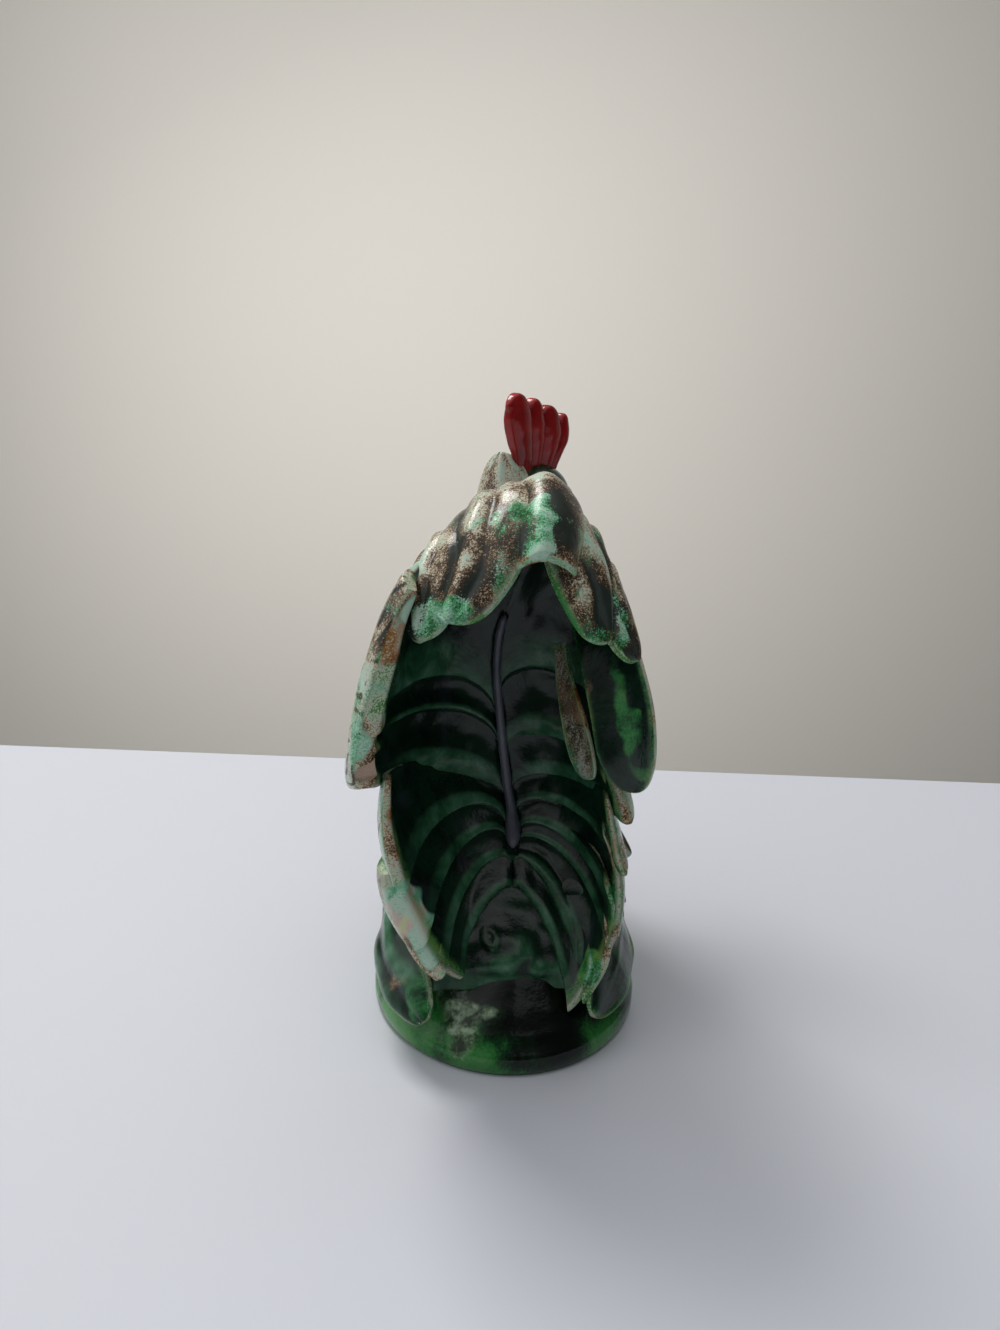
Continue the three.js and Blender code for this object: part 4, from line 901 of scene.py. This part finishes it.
def make_crown(rows=90, cols=60):
    top = CROWN_HEIGHT
    over = [(0, -30, top - 64), (-1, -22, top - 38), (-3, -6, top - 11), (-4, 14, top), (-4, 31, top - 4), (-2, CUP_RIM_Y + 2, top - 18)]
    below = [(0, -14, top - 63), (-1, -6, top - 47), (-3, 6, top - 29), (-4, 19, top - 20), (-4, 33, top - 18), (-2, CUP_RIM_Y, top - 23.3)]
    t = (ends_dense(rows) + 1) / 2
    s = ends_dense(cols)
    S, T = np.meshgrid(s, t)
    along = unit(through(over, np.minimum(t + 0.01, 1)) - through(over, np.maximum(t - 0.01, 0)))
    out = unit(np.cross(np.array([1.0, 0, 0]), along))
    out = out * np.sign(out[:, 2:3])
    reach = S * CROWN_HALF_WIDTH * through([0.95, 1, 1.05, 1, 0.95, 0.8], t)[:, None]
    fall = CROWN_HALF_WIDTH * S * S
    folds = 0.55 * np.cos(S * np.pi * 1.9 + 0.6 + 1.4 * np.sin(T * 5)) * smooth(T, 0.1, 0.4)
    side = np.array([1.0, 0, 0])
    outer = through(over, t)[:, None] + reach[..., None] * side + out[:, None] * (folds - 0.75 * fall - 0.6)[..., None]
    inner = through(below, t)[:, None] + 0.84 * reach[..., None] * side - out[:, None] * (0.5 * fall)[..., None]
    outer = outer + out[:, None] * (0.8 * waves(outer, 20, 8))[..., None]
    return slab((inner + outer) / 2, (outer - inner) / 2, rounding(s, 4), rounding(2 * t - 1, 7))


crown_points, crown_faces, crown_inside, crown_edge = make_crown()
crown = piece("tail_crown_feather", crown_points, crown_faces, crown_inside, crown_edge, hood_glaze)

# %% [markdown]
# Two lobes hang over each side of the hood, and two free leaves fill its right side.

# %% The lobes and the free leaves
LOBE_THICKNESS = 7.0


def hood_facing(aside, behind):
    return lambda t: (
        math.copysign(mix(0.35, abs(aside), t), aside),
        mix(-1, behind, float(smooth(t, 0.1, 1))),
        0.8,
    )


LOBES = {
    "tail_upper_left_inner": (
        [(8, -26, 148), (10, -14, 178), (13, 8, 201), (18, 30, 196), (27, 49, 171)], [12, 15, 17, 18, 13], 0.6, 0.8),
    "tail_upper_left_outer": (
        [(20, -24, 140), (24, -10, 170), (28, 12, 188), (33, 30, 182), (36, 46, 164)], [12, 13, 14, 13, 10], 1, 0.6),
    "tail_upper_right_inner": (
        [(-9, -26, 148), (-14, -14, 174), (-17, 8, 194), (-17, 29, 190), (-24, 47, 164)], [12, 13, 14, 15, 10], -0.7, 0.9),
    "tail_upper_right_outer": (
        [(-18, -24, 140), (-22, -8, 164), (-26, 12, 179), (-29, 27, 173), (-34, 42, 156)], [12, 13, 13, 12, 8], -1.2, 0.6),
}  # fmt: skip
for k, (node, (path, widths, aside, behind)) in enumerate(LOBES.items()):
    feather(node, path, widths, hood_facing(aside, behind), LOBE_THICKNESS, tip=0.2, grooves=3, depth=1.7,
            sharp=0.9, ruffle=0.8, seed=11 + k, rows=80, cols=60, material=hood_glaze)  # fmt: skip
feather(
    "tail_right_main_feather",
    [(-21, 8, 180), (-28, 22, 162), (-33, 34, 143), (-36, 41, 125), (-37, 45, 110)],
    [10, 11, 12, 11, 8], lambda t: (-0.75, -1, 0.1), LOBE_THICKNESS, crown=0.35, grooves=2, depth=0.9,
    seed=21, rows=80, cols=60, material=leaf_glaze, rim_share=0.45,
)  # fmt: skip
feather(
    "tail_right_inner_leaf",
    [(-13, 17, 154), (-16, 22, 140), (-20, 28, 126), (-24, 35, 110)],
    [2, 3.5, 5, 4.5], lambda t: (-0.8, -1, 0), 4.0, crown=0.5, grooves=3, seed=22, material=leaf_glaze,
    inside_share=0.0, inside_base=0.62,
)  # fmt: skip
print("lobes and leaves:", len(LOBES) + 2)

# %% [markdown]
# The spine follows a path, so a small Geometry Nodes tree makes it: a curve with a radius at every
# point, swept by a circle. The same tree makes the bird's shanks and toes.


# %% A tree that sweeps a tube along a path
def tube_tree():
    tree = bpy.data.node_groups.new("tube along a path", "GeometryNodeTree")
    face = tree.interface
    face.new_socket("Geometry", in_out="INPUT", socket_type="NodeSocketGeometry")
    sides = face.new_socket("Sides", in_out="INPUT", socket_type="NodeSocketInt")
    scale = face.new_socket("Radius scale", in_out="INPUT", socket_type="NodeSocketFloat")
    glaze = face.new_socket("Material", in_out="INPUT", socket_type="NodeSocketMaterial")
    face.new_socket("Geometry", in_out="OUTPUT", socket_type="NodeSocketGeometry")
    add = tree.nodes.new
    start, end = add("NodeGroupInput"), add("NodeGroupOutput")
    curve, circle = add("GeometryNodeMeshToCurve"), add("GeometryNodeCurvePrimitiveCircle")
    radius, read = add("GeometryNodeSetCurveRadius"), add("GeometryNodeInputNamedAttribute")
    times, sweep = add("ShaderNodeMath"), add("GeometryNodeCurveToMesh")
    real, paint = add("GeometryNodeRealizeInstances"), add("GeometryNodeSetMaterial")
    read.data_type = "FLOAT"
    read.inputs["Name"].default_value = "thick"
    times.operation = "MULTIPLY"
    circle.inputs["Radius"].default_value = 1.0
    sweep.inputs["Fill Caps"].default_value = True
    join = tree.links.new
    join(start.outputs["Geometry"], curve.inputs["Mesh"])
    join(curve.outputs["Curve"], radius.inputs["Curve"])
    join(read.outputs["Attribute"], times.inputs[0])
    join(start.outputs["Radius scale"], times.inputs[1])
    join(times.outputs[0], radius.inputs["Radius"])
    join(start.outputs["Sides"], circle.inputs["Resolution"])
    join(radius.outputs["Curve"], sweep.inputs["Curve"])
    join(circle.outputs["Curve"], sweep.inputs["Profile Curve"])
    if "Scale" in sweep.inputs:
        again = add("GeometryNodeInputNamedAttribute")
        again.data_type = "FLOAT"
        again.inputs["Name"].default_value = "thick"
        join(again.outputs["Attribute"], sweep.inputs["Scale"])
    join(sweep.outputs["Mesh"], real.inputs["Geometry"])
    join(real.outputs["Geometry"], paint.inputs["Geometry"])
    join(start.outputs["Material"], paint.inputs["Material"])
    join(paint.outputs["Geometry"], end.inputs["Geometry"])
    return tree, {"sides": sides.identifier, "scale": scale.identifier, "glaze": glaze.identifier}


TUBES, TUBE_KEYS = tube_tree()
print("tree inputs:", TUBE_KEYS)


# %% Tubes
def run_tree(name, mesh, tree, values):
    """Runs a tree on a mesh and returns the result as a plain mesh."""
    made = bpy.data.objects.new(name, mesh)
    bpy.context.scene.collection.objects.link(made)
    modifier = made.modifiers.new("tree", "NODES")
    modifier.node_group = tree
    for key, value in values.items():
        modifier[key] = value
    bpy.context.view_layer.update()
    ready = made.evaluated_get(bpy.context.evaluated_depsgraph_get())
    result = bpy.data.meshes.new_from_object(ready)
    bpy.data.objects.remove(made)
    return result


def tube(name, path, radii, sides=24, material=None):
    points = (np.asarray(path) + SHIFT) * MM
    mesh = bpy.data.meshes.new(name + "_path")
    mesh.from_pydata(points.tolist(), [(i, i + 1) for i in range(len(points) - 1)], [])
    thick = mesh.attributes.new("thick", "FLOAT", "POINT")
    thick.data.foreach_set("value", np.asarray(radii, np.float32) * MM)
    return run_tree(
        name, mesh, TUBES, {TUBE_KEYS["sides"]: sides, TUBE_KEYS["scale"]: 1.0, TUBE_KEYS["glaze"]: material}
    )


def adopt(node, mesh, inside=0.0, name=None):
    """Turns a plain mesh, already in the frame, into the piece for a node."""
    name = name or "glazed_" + node
    mesh.name = name
    for key, value in (("inside", inside), ("edge", 0.0), ("crest", 0.5), ("chip", 0.0)):
        if key not in mesh.attributes:
            mesh.attributes.new(key, "FLOAT", "POINT").data.foreach_set(
                "value", np.full(len(mesh.vertices), value, np.float32)
            )
    mesh.shade_smooth()
    made = bpy.data.objects.new(name, mesh)
    bpy.context.scene.collection.objects.link(made)
    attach(made, "root")
    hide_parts(node)
    return made


# The spine is painted lavender grey: a painted sheen along its ridge, laid into its colour.
spine_sheen_glaze = plain_glaze("spine sheen glaze", [(0.3, srgb(62, 64, 74)), (0.6, srgb(92, 94, 104)), (0.8, srgb(96, 112, 104))], 90, 0.3)
fall = np.linspace(0, 1, 80)
spine_path = spine_at(mix(160, 70, fall))
spine_radii = mix(0.8, 1.15, fall) * SPINE_RADIUS + 1.1 * np.exp(-(((fall - 0.93) / 0.05) ** 2))
spine_radii *= np.sqrt(np.clip(np.minimum(fall, 1 - fall) / 0.02, 0.05, 1))
spine = adopt("tail_spine", tube("spine", spine_path, spine_radii, 20, spine_sheen_glaze), 1.0)
print("spine faces:", len(spine.data.polygons))

# %% [markdown]
# The head is a smooth ball on the neck, turned to the bird's right.

# %% Head and neck
HEAD_TURN = math.radians(38)
HEAD = np.array([-14.0, -92.0, 184.0])
HEAD_LENGTH, HEAD_WIDTH, HEAD_HEIGHT = 17.0, 14.0, 14.0
FORWARD = np.array([-math.sin(HEAD_TURN), -math.cos(HEAD_TURN), 0.0])
ASIDE = np.array([math.cos(HEAD_TURN), -math.sin(HEAD_TURN), 0.0])
UP = np.array([0.0, 0.0, 1.0])
NECK_PATH = [(-1, -62, 112), (-3, -68, 136), (-7, -77, 160), tuple(HEAD)]
NECK_RADII = [26, 23, 18, 14]


def on_head(forward, aside, up):
    forward, aside, up = (np.asarray(v, float)[..., None] for v in (forward, aside, up))
    return HEAD + FORWARD * forward + ASIDE * aside + UP * up


def ball(place, along, across, up, rows=28, cols=48):
    lat = np.linspace(-np.pi / 2 + 0.03, np.pi / 2 - 0.03, rows)[:, None]
    lon = np.linspace(0, 2 * np.pi, cols, endpoint=False)[None]
    x, y, z = np.cos(lat) * np.cos(lon), np.cos(lat) * np.sin(lon), np.sin(lat) + 0 * lon
    return place + FORWARD * (x * along)[..., None] + ASIDE * (y * across)[..., None] + UP * (z * up)[..., None]


piece("head", *closed_rings(ball(HEAD, HEAD_LENGTH, HEAD_WIDTH, HEAD_HEIGHT)), material=head_glaze)
neck_t = np.linspace(0, 1, 60)
turn = np.linspace(0, 2 * np.pi, 72, endpoint=False)
neck_rings = []
for t in neck_t:
    radius = float(through(NECK_RADII, t)) + 0.7 * np.cos(14 * turn + 3 * t)
    centre = through(NECK_PATH, t)
    neck_rings.append(np.stack([centre[0] + radius * np.cos(turn), centre[1] + radius * np.sin(turn), centre[2] + 0 * turn], -1))
piece("neck", *closed_rings(np.array(neck_rings)), material=body_glaze)

HACKLES = {"hackle_left": 10, "hackle_right": 170, "hackle_front": 270}


def neck_seat(t, angle, extra):
    a = math.radians(angle)
    reach = float(through(NECK_RADII, t)) + extra
    return through(NECK_PATH, t) + reach * np.array([math.cos(a), math.sin(a), 0])


for k, (node, angle) in enumerate(HACKLES.items()):
    a = math.radians(angle)
    path = [neck_seat(t, angle, extra) for t, extra in ((0.92, 0), (0.72, 0.5), (0.42, 1), (0.12, 2))]
    feather(node, path, [8, 13, 17, 15], lambda t, a=a: (math.cos(a), math.sin(a), 0.3), 6.0, crown=0.5, tip=0.35,
            grooves=5, depth=0.9, seed=31 + k, material=crest_glaze)  # fmt: skip
back = [
    through(NECK_PATH, 0.12) + [2, float(through(NECK_RADII, 0.12)), 0],
    through(NECK_PATH, 0.45) + [5, float(through(NECK_RADII, 0.45)), 0],
    through(NECK_PATH, 0.75) + [11, float(through(NECK_RADII, 0.75)) - 2, 2],
    HEAD + [16, NECK_RADII[-1] - 4, 20],
]
feather("hackle_back", back, [15, 17, 15, 11], lambda t: (0.4, 1, 0.3), 6.0, crown=0.5, tip=0.22, grooves=3,
        depth=0.8, seed=35, material=crest_glaze)  # fmt: skip
print("head, neck and hackles are in place")

# %% [markdown]
# The comb is one lobed blade. Each lobe flares towards its top and rounds over.

# %% Comb
COMB_LENGTH, COMB_HEIGHT, COMB_THICKNESS, COMB_SEAT = 47.5, 40.0, 9.0, 0.518
COMB_NOTCHES = [0, 0.33, 0.54, 0.82, 1]


def make_comb(rows=140, cols=50):
    t = (ends_dense(rows) + 1) / 2
    u = np.sin(np.linspace(0, np.pi / 2, cols))
    U, T = np.meshgrid(u, t)
    lobe = np.abs(np.sin(np.pi * np.interp(T, COMB_NOTCHES, range(len(COMB_NOTCHES)))))
    high = mix(1, 0.66, T**1.5) * mix(mix(0.86, 1, lobe**0.7), 1, 1 - smooth(U, 0.5, 1))
    top = HEAD_HEIGHT * 0.4 + COMB_HEIGHT * high
    belly = 1 + 0.10 * np.sin(np.pi * np.clip((U - 0.3) / 0.6, 0, 1))
    forward = (T - COMB_SEAT) * COMB_LENGTH * mix(0.55, 1, U**0.8) * belly
    height = mix(HEAD_HEIGHT * 0.6, top, U)
    half = COMB_THICKNESS / 2 * (0.5 + 0.5 * smooth(U, 0, 0.6)) * mix(0.74, 1, lobe**0.8)
    middle = on_head(forward, 0.6 * np.sin(5 * T), height)
    half = half * (1 + 0.06 * waves(middle, 8, 9))
    return slab(middle, ASIDE * half[..., None], rounding(u, 4), rounding(2 * t - 1, 5))


comb_points, comb_faces, _, _ = make_comb()
comb = piece("comb", comb_points, comb_faces, material=comb_glaze)


# %% Beak, wattles, earlobes and eyes
def beak(node, up, share, length=13.5, half_width=5.5):
    t = np.linspace(0, 1, 40)
    size = half_width * np.sqrt(1 - (0.985 * t) ** 1.5)
    droop = 5.5 * t * t if up > 0 else -0.5 * t
    centre = on_head(HEAD_LENGTH - 3 + t * (length * share + 3), 0 * t, up - droop)
    turn = np.linspace(0, 2 * np.pi, 40, endpoint=False)
    ring = ASIDE * np.cos(turn)[:, None] + UP * 0.62 * np.sin(turn)[:, None]
    piece(node, *closed_rings(centre[:, None] + ring[None] * size[:, None, None]), material=horn_glaze)


beak("beak_upper", 1.5, 1.0)
beak("beak_lower", -3.6, 0.72)
for side_name, side in (("left", 1), ("right", -1)):
    drop = [
        on_head(HEAD_LENGTH * 0.62, side * 5, -HEAD_HEIGHT * 0.55),
        on_head(HEAD_LENGTH * 0.72, side * 7, -HEAD_HEIGHT * 0.6 - 11),
        on_head(HEAD_LENGTH * 0.7, side * 6, -HEAD_HEIGHT * 0.6 - 22),
    ]
    feather("wattle_" + side_name, drop, [3.5, 7, 7], lambda t, side=side: ASIDE * side, 5.0, tip=0.5, grooves=1,
            depth=0.3, seed=41, material=comb_glaze)  # fmt: skip
    piece("earlobe_" + side_name, *closed_rings(ball(on_head(-2, side * HEAD_WIDTH * 0.93, -3.5), 5.5, 3, 6.6)), material=comb_glaze)
    piece("eye_" + side_name, *closed_rings(ball(on_head(5, side * HEAD_WIDTH * 0.86, 1), 2.6, 2, 2.6)), material=eye_glaze)
print("comb, beak and wattles are in place")

# %% [markdown]
# Wings, saddle and thighs lie against the body, side by side, each feather over the next.

# %% Wings, saddle and legs
for side_name, side in (("left", 1), ("right", -1)):

    def beside(y, z, extra, side=side):
        return (side * (torso_side(y, z) + extra), y, z)

    wing_facing = lambda t, side=side: (side, 0, 0.15)  # noqa: E731
    wing = {
        "wing_shoulder_": ([beside(-84, 104, 0), beside(-62, 112, 3), beside(-36, 106, 5), beside(-12, 92, 12)], [11, 18, 18, 13], 8),
        "wing_flight_upper_": ([beside(-62, 92, 3), beside(-36, 88, 7), beside(-12, 80, 16), (side * 44, 14, 68)], [10, 13, 13, 10], 6),
        "wing_flight_middle_": ([beside(-62, 78, 2), beside(-38, 72, 7), beside(-16, 60, 15), (side * 45, 6, 42)], [10, 13, 13, 10], 6),
        "wing_flight_lower_": ([beside(-60, 64, 2), beside(-40, 58, 8), (side * 46, -20, 42), (side * 47, -4, 24)], [10, 13, 12, 9], 6),
    }
    for k, (stem, (path, widths, thickness)) in enumerate(wing.items()):
        feather(stem + side_name, path, widths, wing_facing, thickness, tip=0.35, grooves=5, depth=0.9,
                skew=0.3, seed=51 + k, material=wing_glaze, inside_share=0.5)  # fmt: skip
    saddle = {
        "saddle_upper_": ([(12, -27, 149), (25, -19, 134), (32, -10, 112), (35, -3, 90)], [9, 12, 12, 8]),
        "saddle_lower_": ([(31, -16, 108), (34, -7, 86), (36, 3, 64), (37, 12, 46)], [10, 13, 13, 9]),
    }
    for k, (stem, (path, widths)) in enumerate(saddle.items()):
        path = [(side * x, y, z) for x, y, z in path]
        feather(stem + side_name, path, widths, wing_facing, 6, tip=0.35, grooves=4, depth=0.9, seed=61 + k,
                material=body_glaze, inside_share=0.5)  # fmt: skip
    thigh = [beside(-68, 84, 0), (side * 35, -64, 64), (side * 31, -54, 47)]
    feather("thigh_" + side_name, thigh, [15, 15, 9], lambda t, side=side: (side * 0.7, -0.8, 0), 12, tip=0.6,
            grooves=3, seed=71, material=body_glaze, inside_share=0.0)  # fmt: skip
print("wings and saddle are in place")

# %% [markdown]
# A foot is one shank and three toes. The tubes overlap at the ankle, and a voxel remesh turns them
# into one skin, the way a thumb smooths the joint in soft clay.


# %% Feet
def foot(side_name, side):
    ankle_y = -44.0
    ankle = np.array([side * 23, ankle_y, float(mound_height(side * 23, ankle_y)) + 2.4])
    top = np.array([side * 31, -54.0, 52.0])
    step = np.linspace(0, 1, 12)[:, None]
    runs = [(mix(ankle, top, step), mix(5.0, 5.0, step[:, 0]) + 0.5 * np.sin(step[:, 0] * 40))]
    for splay in (-35, 0, 35):
        a = math.radians(splay + side * 8)
        walk = np.linspace(0, 1, 16)
        x = ankle[0] + math.sin(a) * walk * 19
        y = ankle[1] - math.cos(a) * walk * 19
        z = mound_height(x, y) + 2.4
        radii = 4 * mix(1.1, 0.55, walk) + 0.25 * np.sin(walk * 30)
        runs.append((np.stack([x, y, z], -1), radii))
    meshes = [tube("toe", path, radii, 18, horn_glaze) for path, radii in runs]
    points, faces, total = [], [], 0
    for mesh in meshes:
        points += [v.co.copy() for v in mesh.vertices]
        faces += [[i + total for i in p.vertices] for p in mesh.polygons]
        total += len(mesh.vertices)
    whole = bpy.data.meshes.new("foot")
    whole.from_pydata(points, [], faces)
    solid = bpy.data.objects.new("foot", whole)
    bpy.context.scene.collection.objects.link(solid)
    remesh = solid.modifiers.new("skin", "REMESH")
    remesh.mode = "VOXEL"
    remesh.voxel_size = 0.0006
    relax = solid.modifiers.new("thumb", "SMOOTH")
    relax.factor = 0.5
    relax.iterations = 6
    bpy.context.view_layer.update()
    ready = solid.evaluated_get(bpy.context.evaluated_depsgraph_get())
    result = bpy.data.meshes.new_from_object(ready)
    bpy.data.objects.remove(solid)
    result.materials.clear()
    result.materials.append(horn_glaze)
    return adopt("foot_" + side_name, result)


for side_name, side in (("left", 1), ("right", -1)):
    print("foot faces:", len(foot(side_name, side).data.polygons))

# %% Leaves on the mound
feather("base_leaf_left", [(45, -8, 34), (45, 14, 36), (41, 34, 30), (33, 50, 21)], [8, 12, 12, 8],
        lambda t: (0.9, 0.7, 0.6), 6, crown=0.1, tip=0.35, grooves=2, depth=1.2, sharp=1.0, seed=81,
        material=leaf_glaze, inside_share=0.0, inside_base=0.8)  # fmt: skip
feather("base_leaf_right", [(-43, -8, 34), (-41, 14, 34), (-35, 34, 30), (-28, 49, 22)], [8, 12, 12, 8],
        lambda t: (-0.9, 0.7, 0.6), 6, crown=-0.1, tip=0.35, grooves=1, depth=1.0, sharp=1.0, seed=82,
        material=leaf_glaze, inside_share=0.0, inside_base=0.8)  # fmt: skip
print("leaves on the mound are in place")

# %% [markdown]
# The picture is taken by hand from above and behind, a little to the bird's left, with a phone's wide
# lens and a slight roll.

# %% Camera
IMAGE_HEIGHT = 1330
FOCAL_PIXELS = 1100
CAMERA_PLACE = (np.array([39.4, 377.5, 275.7]) + SHIFT) * MM
PITCH = math.radians(36) - math.atan(320 / FOCAL_PIXELS)
ROLL = math.radians(2.2)
YAW = math.radians(5)
view = Vector((0, -math.cos(PITCH), -math.sin(PITCH)))
right = Vector((-1, 0, 0))
up = right.cross(view)
right, up = right * math.cos(ROLL) + up * math.sin(ROLL), up * math.cos(ROLL) - right * math.sin(ROLL)
turned = Matrix.Rotation(-YAW, 3, "Z")
right, up, view = turned @ right, turned @ up, turned @ view
camera_data = bpy.data.cameras.new("camera")
camera_data.sensor_width = 36
camera_data.lens = 36 * FOCAL_PIXELS / IMAGE_HEIGHT
camera_data.clip_start = 0.01
camera = bpy.data.objects.new("camera", camera_data)
camera.matrix_world = Matrix(
    [
        (right.x, up.x, -view.x, CAMERA_PLACE[0]),
        (right.y, up.y, -view.y, CAMERA_PLACE[1]),
        (right.z, up.z, -view.z, CAMERA_PLACE[2]),
        (0, 0, 0, 1),
    ]
)
bpy.context.scene.collection.objects.link(camera)
bpy.context.scene.camera = camera
print("lens, mm:", round(camera_data.lens, 2))

# %% [markdown]
# A white table that ends behind the bird, a warm grey wall, and one broad window to the left.


# %% Table, wall and light
def panel(name, corners, color, roughness):
    mesh = bpy.data.meshes.new(name)
    mesh.from_pydata(corners, [], [(0, 1, 2, 3)])
    made = bpy.data.objects.new(name, mesh)
    bpy.context.scene.collection.objects.link(made)
    paint = bpy.data.materials.new(name)
    paint.use_nodes = True
    shader = paint.node_tree.nodes["Principled BSDF"]
    shader.inputs["Base Color"].default_value = color
    shader.inputs["Roughness"].default_value = roughness
    mesh.materials.append(paint)
    return made


TABLE_EDGE = 0.593
flat_view = Vector((view.x, view.y, 0)).normalized()
flat_right = Vector((-flat_view.y, flat_view.x, 0))
flat_right = flat_right if flat_right.dot(right) > 0 else -flat_right
foot_of_camera = Vector((CAMERA_PLACE[0], CAMERA_PLACE[1], 0))


def stage_point(ahead, aside, z=0.0):
    p = foot_of_camera + flat_view * ahead + flat_right * aside
    return (p.x, p.y, z)


panel(
    "table",
    [stage_point(-1.6, -2.2), stage_point(-1.6, 2.2), stage_point(TABLE_EDGE, 2.2), stage_point(TABLE_EDGE, -2.2)],
    srgb(205, 208, 216), 0.6,
)  # fmt: skip
panel(
    "wall",
    [stage_point(2.4, -4, -1.5), stage_point(2.4, 4, -1.5), stage_point(2.4, 4, 3), stage_point(2.4, -4, 3)],
    srgb(222, 218, 211), 0.9,
)  # fmt: skip

world = bpy.data.worlds.new("room")
bpy.context.scene.world = world
world.use_nodes = True
sky = world.node_tree.nodes
aim = sky.new("ShaderNodeVectorMath")
aim.operation = "DOT_PRODUCT"
aim.inputs[1].default_value = (0.4, -0.5, 0.8)
shade = sky.new("ShaderNodeValToRGB")
shade.color_ramp.elements[0].position, shade.color_ramp.elements[0].color = 0.10, srgb(52, 54, 52)
shade.color_ramp.elements[1].position, shade.color_ramp.elements[1].color = 0.75, srgb(236, 236, 238)
world.node_tree.links.new(sky.new("ShaderNodeTexCoord").outputs["Generated"], aim.inputs[0])
world.node_tree.links.new(aim.outputs["Value"], shade.inputs["Fac"])
world.node_tree.links.new(shade.outputs["Color"], sky["Background"].inputs["Color"])
sky["Background"].inputs["Strength"].default_value = 1.23


def soft_light(name, place, target, width, height, power, color):
    data = bpy.data.lights.new(name, "AREA")
    data.shape = "RECTANGLE"
    data.size, data.size_y = width, height
    data.energy = power
    data.color = color
    made = bpy.data.objects.new(name, data)
    made.location = place
    made.rotation_euler = (Vector(target) - Vector(place)).to_track_quat("-Z", "Y").to_euler()
    bpy.context.scene.collection.objects.link(made)
    return made


centre = Vector((SHIFT[0] * MM, SHIFT[1] * MM, 0.1))
soft_light("window", centre + Vector((0.55, -0.75, 1.25)), centre, 0.6, 0.5, 14, (1, 0.98, 0.95))
soft_light("room fill", centre + Vector((-0.6, 1.2, 1.6)), centre, 1.2, 1.2, 2.2, (0.95, 0.97, 1))
soft_light("wall wash", Vector(stage_point(1.2, -0.25, 0.2)), Vector(stage_point(2.4, 0.05, -0.2)), 1.8, 1.6, 17, (1, 0.99, 0.97))
bpy.context.scene.view_settings.view_transform = "Standard"
print("stage is set")
